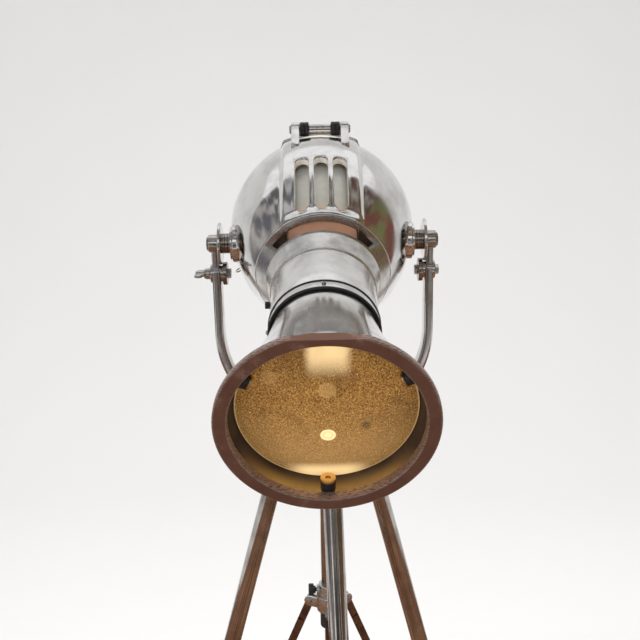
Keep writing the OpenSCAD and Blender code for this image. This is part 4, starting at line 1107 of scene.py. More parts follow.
def box_parts():
    """The raised box: lanes at fixed x, rows by the angle about the ball's middle.

    Its height falls in a rounded shoulder and a hollow foot, and ends under the skin.
    """
    edge = np.array([0.0, 1.0, 2.2, 3.2, 4.0, 5.0, 6.5, 8.5])
    fall = np.array([-1.5, 0.2, 1.4, 3.4, 6.2, 7.5, 7.95, 8.0])
    air = [i * SLOT_PITCH + side * AIR_HALF for i in (-1, 0, 1) for side in (-1, 1)]
    lanes = np.unique(np.concatenate([PANEL_HALF + 2 - edge, edge - PANEL_HALF - 2,
                                      np.linspace(-44, 44, 31), air,
                                      [-LUG_OUTER + 0.3, -LUG_OUTER, LUG_OUTER, LUG_OUTER - 0.3]]))
    radius = DOME_R
    low_turn = math.asin((BOX_LOW - 2) / radius)
    last_turn = 1.98
    turns = np.concatenate([
        low_turn + edge / radius, np.linspace(low_turn + 0.08, last_turn, 46),
        np.arcsin(np.array([AIR_LOW, AIR_HIGH]) / (radius + BOX_RISE)),
        last_turn - np.array([0.25, 0.7, 1.3, 2, 3]) / radius])
    turns = np.unique(turns)
    turn = turns[:, None]
    skins = []
    for grow in (BOX_RISE, -SHELL_WALL - 0.4):
        reach = np.sqrt((radius + grow) ** 2 - lanes ** 2)
        joint = (SPLIT_BACK - DOME_BACK) * math.cos(HEAD_TILT) + JOINT_GAP
        end_turn = np.arccos(joint / reach) - HEAD_TILT
        t = np.where(turn < 1, turn, 1 + (end_turn - 1) * (turn - 1) / (last_turn - 1))
        if grow > 0:
            from_edge = np.minimum(PANEL_HALF + 2 - np.abs(lanes), (t - low_turn) * radius)
            r = radius + np.interp(from_edge, edge, fall)
            left = np.clip(BOX_ROUND - (end_turn - t) * radius, 0, BOX_ROUND)
            r = r - BOX_ROUND + np.sqrt(BOX_ROUND ** 2 - left ** 2)
            reach = np.sqrt(r ** 2 - lanes ** 2)
        skins.append(np.stack([lanes + 0 * t, reach * np.cos(t) + DOME_BACK, reach * np.sin(t)], -1))
    outer, inner = skins
    off = outer[..., 1:] - np.array(HINGE)
    reach = np.linalg.norm(off, axis=-1)
    from_middle = np.abs(outer[..., 0])
    relief = np.where(from_middle > LUG_OUTER - 0.2, RELIEF_R,
                      np.where(from_middle < LUG_INNER, SPACER_R + 0.3, 0))
    sunk = reach < relief
    way = off / np.maximum(reach, 0.1)[..., None]
    outer[..., 1:][sunk] = (np.array(HINGE) + way * relief[..., None])[sunk]
    rows, columns = outer.shape[:2]
    middle = 0.5 * (lanes[1:] + lanes[:-1])
    is_air = (np.abs(middle[None, :] - np.round(middle / SLOT_PITCH) * SLOT_PITCH) < AIR_HALF) \
        & (np.abs(middle) < 1.5 * SLOT_PITCH)
    high = 0.5 * (turns[1:] + turns[:-1])
    air_low, air_high = [math.asin(z / (radius + BOX_RISE)) for z in (AIR_LOW, AIR_HIGH)]
    in_air = (high > air_low) & (high < air_high)
    keep = ~(in_air[:, None] & is_air)
    faces = grid_faces(rows, columns)[keep.ravel()]
    parts = [(outer.reshape(-1, 3), faces), (inner.reshape(-1, 3), faces)]
    first, last = np.nonzero(in_air)[0][[0, -1]]
    for i in (-1, 0, 1):
        sides = [int(np.argmin(np.abs(lanes - i * SLOT_PITCH - side * AIR_HALF))) for side in (-1, 1)]
        parts += opening_walls(outer, inner, (first, last + 1), sides)
    parts.append(sheet_part(np.stack([outer[-1], inner[-1]])))
    return parts


inner_lug = np.vstack([
    arc(HINGE, LUG_R - 0.8, 248, 250, 2), arc(HINGE, HINGE_PIN_R + 2.5, -110, 55, 14),
    arc(HINGE, LUG_R - 0.8, 55, 53, 2), [(93, 131), (102, 125.5), (102, 109), (80, 115)]])
lug_in = [prism(inner_lug, LUG_INNER + 0.4, LUG_INNER + LUG_W - 0.4, 1.2),
          barrel(LUG_INNER, LUG_INNER + LUG_W, (LUG_INNER + LUG_W / 2,), HINGE_PIN_R + RUN)]
piece("rear_dome_casting", [*dome_parts(), *box_parts()],
      polished_metal, "rear_dome", "polished_aluminium", "rear_dome", at=[in_head])
piece("rear_dome_lugs", both_sides(*lug_in),
      black_rubber_look, "rear_dome", "dark_casting", "rear_dome", at=[in_head])


# ---------------------------------------------------------------- trunnions
# Steel stubs bolted into the shell's bosses, turned with three fine grooves.
# Each carries a thin friction disc that the fork's clamp washers grip.
JOURNAL_R = 8.0
TRUNNION_R = 13.8
YOKE_HALF = 152.5
EYE_IN, EYE_OUT = YOKE_HALF - 10, YOKE_HALF + 4
DISC_OUT = EYE_IN - 0.3
DISC_IN = DISC_OUT - 4
DISC_R = 29.0
WASHER_OUT = DISC_IN - 0.3
WASHER_IN = WASHER_OUT - 6
trunnion_profile = np.array([
    (0.05, BOSS_FACE - 16), (JOURNAL_R, BOSS_FACE - 16), (JOURNAL_R, BOSS_FACE - 0.05),
    (TRUNNION_R - 0.7, BOSS_FACE + 0.02),
    *grooved(TRUNNION_R, BOSS_FACE + 0.7, DISC_IN - 0.6, (BOSS_FACE + 3.6, BOSS_FACE + 7.6, BOSS_FACE + 9.8)),
    (TRUNNION_R - 0.6, DISC_IN), (JOURNAL_R, DISC_IN), (JOURNAL_R, EYE_OUT + 0.3),
    (JOURNAL_R + 0.9, EYE_OUT + 0.3), (JOURNAL_R + 1.5, EYE_OUT + 0.8), (JOURNAL_R + 1.5, EYE_OUT + 1.5),
    (JOURNAL_R + 0.6, EYE_OUT + 2.3), (2.5, EYE_OUT + 2.3), (2.0, EYE_OUT + 1.6), (0.05, EYE_OUT + 1.6)])
dark_steel_metal = metal("dark_turned_steel", (0.42, 0.38, 0.35), (0.22, 0.19, 0.17), 0.12, 0.3, 0.1, 60.0)
trunnion = placed(turned(trunnion_profile, 96, closed=False), along_x)
piece("trunnion_stubs", both_sides(trunnion),
      dark_steel_metal, "head", "dark_steel", "trunnions", at=[in_head], crease=30)
disc = placed(washer_ring(JOURNAL_R, DISC_R, DISC_IN, DISC_OUT, 1.2, 128), along_x)
piece("friction_disc_pair", both_sides(disc),
      polished_ring_metal, "head", "dark_steel", "friction_discs", at=[in_head])


# ---------------------------------------------------------------- fork
# One bent steel bar, 26 mm deep, with welded eyes, clamp bosses and a foot.
# The bar runs from 38 mm below the tilt axis round two bends.
YOKE_DROP = 266.0
ARM_T, BEND_T = 11.5, 14.0
YOKE_DEPTH = 26.0
BEND_R = 139.5
BEND_AT = -(YOKE_DROP - BEND_R)
CLAMP_DROP = 42.0
EYE_R, CLAMP_BOSS_R = 12.5, 13.0
CLAMP_BOLT_R = 4.0


def on_fork(points):
    """Fork frame (origin on the tilt axis, upright, millimetres) to metres."""
    return tilt_pivot + MM * points


def drop_by(down):
    """A move straight down by `down` millimetres."""
    return shifted(0, 0, -down)


def yoke_bar():
    """The bar as stations along its bend: each one a rounded section between the
    outer and the inner curve. u < 0 and u > pi are the straight arms."""
    arm = np.linspace(0, 1, 14)[:-1]
    turn = np.linspace(0, math.pi, 98)
    side = (YOKE_HALF - BEND_R) * np.sign(np.cos(turn))
    outer = np.stack([side + BEND_R * np.cos(turn), BEND_AT - BEND_R * np.sin(turn)], -1)
    inner_r = BEND_R - ARM_T - 1
    inner_z = BEND_AT + BEND_T - ARM_T - 1
    inner = np.stack([side + inner_r * np.cos(turn), inner_z - inner_r * np.sin(turn)], -1)
    top = 4 - CLAMP_DROP
    right_out = np.stack([YOKE_HALF + 0 * arm, top + (BEND_AT - top) * arm], -1)
    top_in = YOKE_HALF - ARM_T - top / inner_z
    right_in = np.stack([top_in + (inner[0, 0] - top_in) * arm, top + (inner_z - top) * arm], -1)
    flip = np.array([-1, 1])
    outer = np.vstack([right_out, outer, right_out[::-1] * flip])
    inner = np.vstack([right_in, inner, right_in[::-1] * flip])
    corner = 3.2
    t = np.linspace(0, math.pi / 2, 6)
    across, depth = corner * (1 - np.cos(t)), YOKE_DEPTH / 2 - corner * (1 - np.sin(t))
    side = np.concatenate([across, 1000 - across[::-1]])
    side = np.concatenate([side, side[::-1]])
    deep = np.concatenate([depth, depth[::-1], -depth, -depth[::-1]])
    flat = np.linspace(-1, 1, 7)[1:-1] * (YOKE_DEPTH / 2 - corner)
    side = np.concatenate([side, np.zeros(flat.size)])
    deep = np.concatenate([deep, flat])
    gap = inner - outer
    thick = np.linalg.norm(gap, axis=1)
    way = gap / thick[:, None]
    reach = np.where(side[None, :] > 500, thick[:, None] - (1000 - side[None, :]), side[None, :])
    place = outer[:, None, :] + way[:, None, :] * reach[..., None]
    points = np.stack([place[..., 0], deep[None, :] + 0 * reach, place[..., 1]], -1)
    flat_points, faces = sheet_part(points, wrap_columns=True)
    count = len(side)
    ends = [list(range(count)), list(range((len(outer) - 1) * count, len(outer) * count))]
    return flat_points, [*faces.tolist(), *ends]


def eye_parts():
    """Right side: the eye, the flat web below it, the clamp boss and its spacer."""
    eye = placed(ring(JOURNAL_R, EYE_R, EYE_IN, EYE_OUT, (0, 1.2, 1.8, 0.8, 0), steps=6), along_x)
    web_half = 8.0
    web = prism([(-web_half, -CLAMP_DROP), (web_half, -CLAMP_DROP), (web_half, -5), (-web_half, -5)],
                EYE_IN, YOKE_HALF, 2.0)
    boss = ring(CLAMP_BOLT_R, CLAMP_BOSS_R, EYE_IN, EYE_OUT - 1, (0, 1.2, 2.0, 0.8, 0), steps=6)
    spacer = washer_ring(CLAMP_BOLT_R, CLAMP_DROP - DISC_R - 1.5, WASHER_OUT, EYE_IN + 1, 0.4, 64)
    return [eye, web, *[placed(part, along_x, drop_by(CLAMP_DROP)) for part in (boss, spacer)]]


FOOT_BORE_R, YOKE_FOOT_R, YOKE_FOOT_DROP = 6.06, 20, 2.4
yoke_foot = ring(FOOT_BORE_R, YOKE_FOOT_R, -YOKE_DROP - YOKE_FOOT_DROP, -YOKE_DROP + BEND_T + 2,
                 (0, 0.8, 1.6, 0.5, 0), 96)
fork_metal = metal("fork_steel", (0.62, 0.6, 0.58), (0.4, 0.37, 0.35), 0.1, 0.24, 0.35, 22.0)
fork_parts = [yoke_bar(), yoke_foot, *both_sides(*eye_parts())]
piece("fork_bar", fork_parts,
      fork_metal, "fork", "fork_steel", "fork", at=[on_fork])


# ---------------------------------------------------------------- clamps
# Bolts through the bosses pull rubbed steel washers against the friction discs:
# a hexagon nut on the right side and a cast wing nut on the left.
def hexagon(corner_r, start, end, bore=0.0):
    """A chamfered hexagon head or nut along z: six flats, corners cut by a cone."""
    flat_r = corner_r * math.cos(math.pi / 6)
    t = np.linspace(0, 2 * math.pi, 72, endpoint=False) + math.pi / 6
    flat = flat_r / np.cos((t + math.pi / 6) % (math.pi / 3) - math.pi / 6)
    cone = flat_r + 0.25
    rows = [(np.full(72, bore + 0.05), start), (np.minimum(flat, cone), start),
            (np.minimum(flat, cone + 0.55), start + 0.35), (flat, start + 0.8), (flat, end - 0.8),
            (np.minimum(flat, cone + 0.55), end - 0.35), (np.minimum(flat, cone), end),
            (np.full(72, bore + 0.05), end)]
    points = np.stack([round_grid(r, t, z) for r, z in rows])
    return sheet_part(points, wrap_rows=True, wrap_columns=True)


zinc_metal = metal("zinc_plate", (0.62, 0.62, 0.6), (0.42, 0.4, 0.37), 0.2, 0.4, 0.1, 90.0)
bolt_head = hexagon(CLAMP_BOLT_R + 3, WASHER_IN - 5, WASHER_IN)
bolt_nut = hexagon(CLAMP_BOLT_R + 3, EYE_OUT - 1, EYE_OUT + 4, CLAMP_BOLT_R)
BOLT_TIP, WING_BOLT_TIP = EYE_OUT + 3.6, EYE_OUT + 20
bolt_right, bolt_left = [
    rod(CLAMP_BOLT_R, WASHER_IN - 0.2, tip, (0, 0, 0.8, 0)) for tip in (BOLT_TIP, WING_BOLT_TIP)]
bolts = [placed(part, along_x, drop_by(CLAMP_DROP)) for part in (bolt_head, bolt_nut, bolt_right)]
left_bolts = [mirrored(placed(part, along_x, drop_by(CLAMP_DROP))) for part in (bolt_head, bolt_left)]
piece("clamp_bolt_set", [*bolts, *left_bolts],
      zinc_metal, "fork", "zinc", "clamp_bolts", at=[on_fork])
CLAMP_WASHER_R = 16.0
washer = placed(washer_ring(CLAMP_BOLT_R, CLAMP_WASHER_R, WASHER_IN, WASHER_OUT, 0.9, 80),
                along_x, drop_by(CLAMP_DROP))
piece("clamp_washer_pair", both_sides(washer),
      dark_steel_metal, "fork", "dark_steel", "clamp_washers", at=[on_fork])


def wing_parts():
    """The wing nut on its own axis z: a tapered hub and two leaves with round tips."""
    hub = turned(rounded([(CLAMP_BOLT_R, 0), (8, 0), (7.6, 6), (6, 9), (CLAMP_BOLT_R, 9), (CLAMP_BOLT_R, 0)],
                         (0, 0.6, 1.5, 1, 0.3, 0)), 64)
    leaf = np.vstack([[(4, 1), (9, 7.5)], arc((15, 15), 6, -52, 150, 20), [(6.5, 10.5), (4, 8.5)]])
    wing = prism(leaf, -2, 2, 1.4)
    standing = placed(wing, lambda p: np.stack([p[..., 1], p[..., 0], p[..., 2]], -1))
    return [hub, standing, placed(standing, lambda p: p * np.array([-1, -1, 1]))]


def on_left_clamp(points):
    """Wing nut's own frame (z outwards) to the fork's left side."""
    x, y, z = np.moveaxis(points, -1, 0)
    return np.stack([-(EYE_OUT - 1 + 0.3) - z, x, y - CLAMP_DROP], -1)


piece("clamp_wing_casting", wing_parts(),
      zinc_metal, "wing_nut", "zinc", "clamp_wing_nut", at=[on_left_clamp, on_fork])


# ---------------------------------------------------------------- mast head
# The mast's turned head carries the fork on a stud, held by a washer and a nut.
# Everything on the mast shares its upright axis.
MAST_X, MAST_Y, TILT_H = (1000 * tilt_pivot).tolist()
HUB_TOP = 1207.0
MAST_TOP = HUB_TOP + 0.3
MAST_HEAD_R = 20.0
MAST_HEAD_TOP = MAST_TOP + 24
NUT_SEAT = TILT_H - YOKE_DROP + BEND_T + 2
STUD_R = 6.0


def on_mast(points):
    """Mast frame (z up from the floor, millimetres) to metres."""
    return MM * (points + np.array([MAST_X, MAST_Y, 0.0]))


head_profile = np.vstack([
    rounded([(0.05, MAST_TOP), (MAST_HEAD_R, MAST_TOP), (MAST_HEAD_R, MAST_TOP + 8.6)], (0, 1.0, 0)),
    [(MAST_HEAD_R - 0.9, MAST_TOP + 9.5), (MAST_HEAD_R, MAST_TOP + 10.4)],
    rounded([(MAST_HEAD_R, MAST_HEAD_TOP - 4), (MAST_HEAD_R, MAST_HEAD_TOP), (STUD_R, MAST_HEAD_TOP),
             (STUD_R, NUT_SEAT + 16.5), (0.05, NUT_SEAT + 16.5)], (0, 1.4, 0.2, 1.2, 0))])
piece("mast_head_turning", [turned(head_profile, 120, closed=False)],
      polished_ring_metal, "mast", "satin_aluminium", "mast_head", at=[on_mast])
nut_washer = washer_ring(STUD_R, STUD_R + 8, NUT_SEAT + 0.3, NUT_SEAT + 2.8, 0.6)
pan_nut = hexagon(STUD_R + 5, NUT_SEAT + 2.8, NUT_SEAT + 12.5, STUD_R)
piece("pan_nut_and_washer", [nut_washer, pan_nut],
      zinc_metal, "mast", "zinc", "pan_nut", at=[on_mast])


# ---------------------------------------------------------------- mast and column
# A dark steel rod slides in the bright column tube, whose foot has a black bush.
ROD_R = 7.5
COLUMN_R = 11.5
BUSH_R = 14.0
COLLAR_PIN_H = 938.0
COLLAR_LOW = COLLAR_PIN_H - 8
BUSH_TOP = COLLAR_LOW - 0.3
BUSH_LOW = BUSH_TOP - 28
COLUMN_LOW = BUSH_LOW + 4
ROD_LOW = COLUMN_LOW - 170
mast_rod = rod(ROD_R, ROD_LOW, MAST_TOP + 11, (0, 1.8, 0.5, 0), 72)
dark_rod_metal = metal("dark_rod", (0.24, 0.21, 0.2), (0.12, 0.1, 0.09), 0.14, 0.32, 0.1, 30.0)
piece("mast_rod_bar", [mast_rod],
      dark_rod_metal, "mast", "dark_steel", "mast_rod", at=[on_mast])
chrome_metal = metal("dark_chrome", (0.58, 0.555, 0.53), (0.36, 0.32, 0.29), 0.07, 0.2, 0.12, 18.0)
column = ring(ROD_R + RUN, COLUMN_R, COLUMN_LOW, HUB_TOP - 2, (0, 0.5, 0.5, 0.3, 0), 96)
piece("column_bright_tube", [column],
      chrome_metal, "stand", "dark_chrome", "column_tube", at=[on_mast])
bush_profile = rounded([
    (ROD_R + RUN, BUSH_LOW), (BUSH_R, BUSH_LOW), (BUSH_R, BUSH_TOP), (COLUMN_R - 0.5, BUSH_TOP),
    (COLUMN_R - 0.5, BUSH_TOP - 3), (ROD_R + RUN, BUSH_TOP - 3), (ROD_R + RUN, BUSH_LOW)],
    (0, 2.2, 1.2, 0, 0, 0, 0))
black_plastic_look = Finish("black_plastic").surface(Base_Color=(0.02, 0.02, 0.021), Roughness=0.35)
piece("column_bush_moulding", [turned(bush_profile, 96)],
      black_plastic_look, "stand", "black_plastic", "column_bush", at=[on_mast])


# ---------------------------------------------------------------- tripod hub
# A cast barrel with three pairs of cheeks for the legs and a boss for the knob.
HUB_PIN_H = 1165.0
HUB_REACH = 78.0
HUB_R = 25.0
CHEEK_T = 8.0
CHEEK_R = 14.0
TONGUE_T = 12.0
HUB_PIN_R = 4.0
BORE_GAP = TONGUE_T / 2 + 0.3
TRIPOD_TURN = 5.0
LEG_TURNS = [TRIPOD_TURN - 90 + 120 * i for i in range(3)]
MAST_SCREW_H = HUB_TOP - 17
MAST_SCREW_TURN = LEG_TURNS[1] + 60


def turned_by(degrees):
    """Turns the mast frame about z."""
    c, s = math.cos(math.radians(degrees)), math.sin(math.radians(degrees))

    def move(points):
        x, y, z = np.moveaxis(points, -1, 0)
        return np.stack([x * c - y * s, x * s + y * c, z], -1)
    return move


def side_drawn(points):
    """A prism's own frame (outline in y, z; drawn along x) to a leg's plane:
    the outline's first number runs outwards, and the prism is drawn sideways."""
    return points[..., [1, 0, 2]]


def plate_pair(outline, gap, thick, bevel):
    """Two plates of one outline, at `gap` to the left and to the right of a leg's plane."""
    return [placed(prism(outline, start, start + thick, bevel), side_drawn)
            for start in (gap, -gap - thick)]


def across_leg(at, up, side=1):
    """A move that lays z across a leg's plane, to one side, at a distance and a height."""
    return lambda p: np.stack([p[..., 0] + at, side * p[..., 2], p[..., 1] + up], -1)


def side_pin(radius, half, at, up, corner=0.5):
    """A pin across a leg's plane, at a distance `at` from the mast and a height."""
    return placed(rod(radius, -half, half, (0, corner, corner, 0)), across_leg(at, up))


hub_barrel = ring(COLUMN_R, HUB_R, HUB_PIN_H - 24, HUB_TOP, (0, 2.5, 2.5, 0.8, 0), 120, 7)
cheek_line = np.vstack([arc((HUB_REACH, HUB_PIN_H), CHEEK_R, -90, 90, 28),
                        [(HUB_R - 5, HUB_PIN_H + CHEEK_R), (HUB_R - 5, HUB_PIN_H - CHEEK_R)]])
cheeks = plate_pair(cheek_line, BORE_GAP, CHEEK_T, 1.5)
knob_boss = placed(ring(4, 11, 18, HUB_R + 7, (0, 0, 1.5, 0.4, 0), 64),
                   along_x, shifted(0, 0, MAST_SCREW_H), turned_by(MAST_SCREW_TURN))
hub_parts = [hub_barrel, knob_boss]
hub_parts += [placed(part, turned_by(a)) for a in LEG_TURNS for part in cheeks]
casting_look = metal("dark_casting", (0.2, 0.19, 0.185), (0.1, 0.09, 0.085), 0.3, 0.5, 1.2, 70.0)
piece("tripod_hub_casting", hub_parts,
      casting_look, "stand", "dark_casting", "tripod_hub", at=[on_mast])
half_pin = BORE_GAP + CHEEK_T


def pin_head(inner, outer, radius, at, up):
    """A round head on a side pin, between two distances from the leg's plane."""
    return placed(rod(radius, inner, outer, (0, 0.2, 0.9, 0)), across_leg(at, up))


hub_pin_parts = [side_pin(HUB_PIN_R, half_pin, HUB_REACH, HUB_PIN_H),
                 pin_head(half_pin, half_pin + 5, HUB_PIN_R + 3.5, HUB_REACH, HUB_PIN_H),
                 placed(hexagon(HUB_PIN_R + 4, half_pin, half_pin + 6),
                        across_leg(HUB_REACH, HUB_PIN_H, -1))]
piece("hub_pin_set", [placed(part, turned_by(a)) for a in LEG_TURNS for part in hub_pin_parts],
      zinc_metal, "stand", "zinc", "hub_pins", at=[on_mast])


# ---------------------------------------------------------------- knobs
# Moulded black knobs with six flutes, each on its own steel screw.
def knob_parts(screw_r, screw_len, grip_r, grip_h):
    """Knob along z: a screw from z = 0, a collar and a grip whose radius dips six times."""
    screw = rod(screw_r, 0, screw_len + 1, (0, 0.6, 0, 0), 40)
    collar = washer_ring(0.05, grip_r * 0.6, screw_len, screw_len + 3.5, 0.5, 64)
    t = np.linspace(0, 2 * math.pi, 144, endpoint=False)
    dip = 0.165 * grip_r * eased(np.cos(6 * t), -0.1, 0.95)
    z = screw_len + 3 + (grip_h - 3) * np.array([0, 0, 0.08, 0.16, 0.3, 0.6, 0.8, 0.92, 0.98, 1, 1])
    share = np.array([0.01, 0.9, 0.96, 0.99, 1, 1, 1, 0.97, 0.9, 0.8, 0.01])[:, None]
    r = (grip_r - dip)[None, :] * share
    return [screw, collar, sheet_part(round_grid(r, t, z[:, None]), wrap_columns=True)]


to_mast_knob = (along_x, shifted(0, 0, MAST_SCREW_H), turned_by(MAST_SCREW_TURN), on_mast)
piece("mast_knob_moulding", knob_parts(4.0, HUB_R + 8 - ROD_R, 19.0, 17.0),
      black_plastic_look, "mast_knob", "black_plastic", "mast_knob",
      at=[shifted(0, 0, ROD_R + 0.3), *to_mast_knob])


# ---------------------------------------------------------------- legs
# Bright steel tubes on cast heads, with black rubber feet worn flat below.
LEG_LEAN = math.radians(16.3)
LEG_R = 13.5
LEG_WALL = 1.6
FOOT_R = 18.0
FOOT_H = FOOT_R - 3
FOOT_LEN = 52.0
TUBE_START = CHEEK_R + 10
LEG_LEN = (HUB_PIN_H - FOOT_H) / math.cos(LEG_LEAN)


def down_leg(i):
    """A leg's own frame (z down its axis from the hinge pin, x towards the mast)."""
    c, s = math.cos(math.pi - LEG_LEAN), math.sin(math.pi - LEG_LEAN)

    def move(points):
        x, y, z = np.moveaxis(points, -1, 0)
        radial = x * c + z * s + HUB_REACH
        upright = -x * s + z * c + HUB_PIN_H
        return on_mast(turned_by(LEG_TURNS[i])(np.stack([radial, y, upright], -1)))
    return move


def on_floor(points):
    """The foot's rubber is worn flat where it stands."""
    return np.stack([points[..., 0], points[..., 1], np.maximum(points[..., 2], 0)], -1)


leg_tube = ring(LEG_R - LEG_WALL, LEG_R, TUBE_START, LEG_LEN - 6, (0, 0.5, 0.5, 0.3, 0), 112)
tongue_line = np.vstack([arc((0, 0), CHEEK_R - 1, 180, 360, 28),
                         [(CHEEK_R - 1, TUBE_START), (1 - CHEEK_R, TUBE_START)]])
tongue = placed(prism(tongue_line, -TONGUE_T / 2, TONGUE_T / 2, 1.2), side_drawn)
leg_flange = washer_ring(0.05, LEG_R + 1.5, TUBE_START - 4, TUBE_START, 0.9, 80)
foot_start = LEG_LEN + FOOT_R - FOOT_LEN
ball_turn = np.linspace(0, 1.5705, 22)
foot_side = np.array([
    (LEG_R, 4), (LEG_R, 0.6), (LEG_R + 0.6, 0), (FOOT_R - 2.3, 0), (FOOT_R - 1.6, 0.7), (FOOT_R - 1.5, 3.4),
    (FOOT_R - 0.6, 4.2), (FOOT_R, 5.2), (FOOT_R, 12), (FOOT_R - 0.8, 13), (FOOT_R, 14), (FOOT_R, 20),
    (FOOT_R - 0.8, 21), (FOOT_R, 22)])
foot_profile = np.vstack([
    foot_side + (0, foot_start), [(FOOT_R, LEG_LEN - 1)],
    np.stack([FOOT_R * np.cos(ball_turn), LEG_LEN + FOOT_R * np.sin(ball_turn)], -1),
    [(0.05, LEG_LEN), (LEG_R, LEG_LEN - 5), (LEG_R, foot_start + 4)]])
for i in range(3):
    leg = "leg_%d" % (i + 1)
    piece(leg + "_bright_tube", [leg_tube],
          chrome_metal, leg, "dark_chrome", "leg_tube_%d" % (i + 1), at=[down_leg(i)])
    piece(leg + "_head_casting", [tongue, leg_flange],
          casting_look, leg, "dark_casting", "leg_head_%d" % (i + 1), at=[down_leg(i)])
    piece(leg + "_rubber_foot", [turned(foot_profile, 80)],
          black_rubber_look, leg, "rubber", "foot_%d" % (i + 1), at=[down_leg(i), on_floor])


# ---------------------------------------------------------------- strut clips
# Pressed steel clips round the legs, each with two ears and a rivet.
CLIP_DOWN = 940.0
CLIP_ARM = 25.0
CLIP_HALF = 11.0
STRUT_T = 4.0
STRUT_GAP = STRUT_T / 2 + 0.3
EAR_T = 4.0
STRUT_PIN_R = 3.0
CLIP_EAR_R = 7
clip_ring = washer_ring(LEG_R - 0.2, LEG_R + 3, CLIP_DOWN - CLIP_HALF, CLIP_DOWN + CLIP_HALF, 0.9, 80)
ear_line = np.vstack([[(LEG_R, CLIP_DOWN - CLIP_EAR_R)], arc((CLIP_ARM, CLIP_DOWN), CLIP_EAR_R, -90, 90, 20),
                      [(LEG_R, CLIP_DOWN + CLIP_EAR_R)]])
ears = plate_pair(ear_line, STRUT_GAP, EAR_T, 0.8)
ear_out = STRUT_GAP + EAR_T


def strut_rivet(head_h, head_r, at, up):
    """A strut's pin between two ears, with a head on either side."""
    head = pin_head(ear_out, ear_out + head_h, head_r, at, up)
    return [side_pin(STRUT_PIN_R, ear_out, at, up), head, placed(head, lambda p: p * np.array([1, -1, 1]))]


clip_pins = strut_rivet(3, STRUT_PIN_R + 2, CLIP_ARM, CLIP_DOWN)
for i in range(3):
    piece("strut_clip_%d_pressing" % (i + 1), [clip_ring, *ears, *clip_pins],
          zinc_metal, "leg_%d" % (i + 1), "zinc", "strut_clip_%d" % (i + 1), at=[down_leg(i)])


# ---------------------------------------------------------------- spreader collar
# A cast collar slides on the column. Three pairs of ears hold the struts' pins,
# and a fluted knob on its left clamps it.
COLLAR_REACH = 32.0
SPREAD_R = 19.0
COLLAR_HIGH = COLLAR_LOW + 26
CLAMP_SCREW_H = COLLAR_HIGH + 7
collar_profile = rounded([(COLUMN_R + RUN, COLLAR_LOW), (SPREAD_R, COLLAR_LOW), (SPREAD_R, COLLAR_HIGH),
                          (SPREAD_R - 3, COLLAR_HIGH), (SPREAD_R - 3, COLLAR_HIGH + 18),
                          (COLUMN_R + RUN, COLLAR_HIGH + 18), (COLUMN_R + RUN, COLLAR_LOW)],
                         (0, 1.4, 1.4, 0.5, 1.4, 0.4, 0), 6)
collar_ear = np.vstack([arc((COLLAR_REACH, COLLAR_PIN_H), 8, -90, 90, 22),
                        [(SPREAD_R - 4, COLLAR_PIN_H + 8), (SPREAD_R - 4, COLLAR_PIN_H - 8)]])
collar_ears = plate_pair(collar_ear, STRUT_GAP, EAR_T, 0.9)
screw_boss = placed(ring(STRUT_PIN_R, 8, 10, SPREAD_R, (0, 0, 0.9, 0.3, 0), 48),
                    along_x, shifted(0, 0, CLAMP_SCREW_H), turned_by(180))
spreader_parts = [turned(collar_profile, 112), screw_boss]
spreader_parts += [placed(part, turned_by(a)) for a in LEG_TURNS for part in collar_ears]
silver_cast_metal = metal("silver_casting", (0.76, 0.76, 0.75), (0.5, 0.49, 0.47), 0.2, 0.36, 0.6, 80.0)
piece("spreader_collar_casting", spreader_parts,
      silver_cast_metal, "collar", "silver_casting", "spreader_collar", at=[on_mast])
collar_pin_parts = strut_rivet(2.5, STRUT_PIN_R + 1.6, COLLAR_REACH, COLLAR_PIN_H)
piece("collar_pin_set", [placed(part, turned_by(a)) for a in LEG_TURNS for part in collar_pin_parts],
      zinc_metal, "collar", "zinc", "collar_pins", at=[on_mast])
to_clamp = (shifted(0, 0, COLUMN_R + 0.3), along_x, shifted(0, 0, CLAMP_SCREW_H), turned_by(180), on_mast)
piece("collar_knob_moulding", knob_parts(STRUT_PIN_R, SPREAD_R + 1 - COLUMN_R, 9.5, 11.0),
      black_plastic_look, "collar_knob", "black_plastic", "collar_knob", at=to_clamp)


# ---------------------------------------------------------------- struts
# Flat steel bars with round ends, dark steel whose brown is a painted reflection of the wooden floor: a hole
# above, a slot below.
STRUT_W = 12.0
STRUT_SLOT = 2.4
STRUT_PLAY = 0.8
clip_radial = HUB_REACH + CLIP_DOWN * math.sin(LEG_LEAN) - CLIP_ARM * math.cos(LEG_LEAN)
clip_height = HUB_PIN_H - CLIP_DOWN * math.cos(LEG_LEAN) - CLIP_ARM * math.sin(LEG_LEAN)
strut_lean = math.atan2(clip_radial - COLLAR_REACH, COLLAR_PIN_H - clip_height)
strut_len = math.hypot(clip_radial - COLLAR_REACH, COLLAR_PIN_H - clip_height)


def round_ended(low, high, half, count=24):
    """Closed outline round two centres (0, low) and (0, high), by a half width."""
    return np.vstack([arc((0, low), half, 180, 360, count), arc((0, high), half, 0, 180, count)])


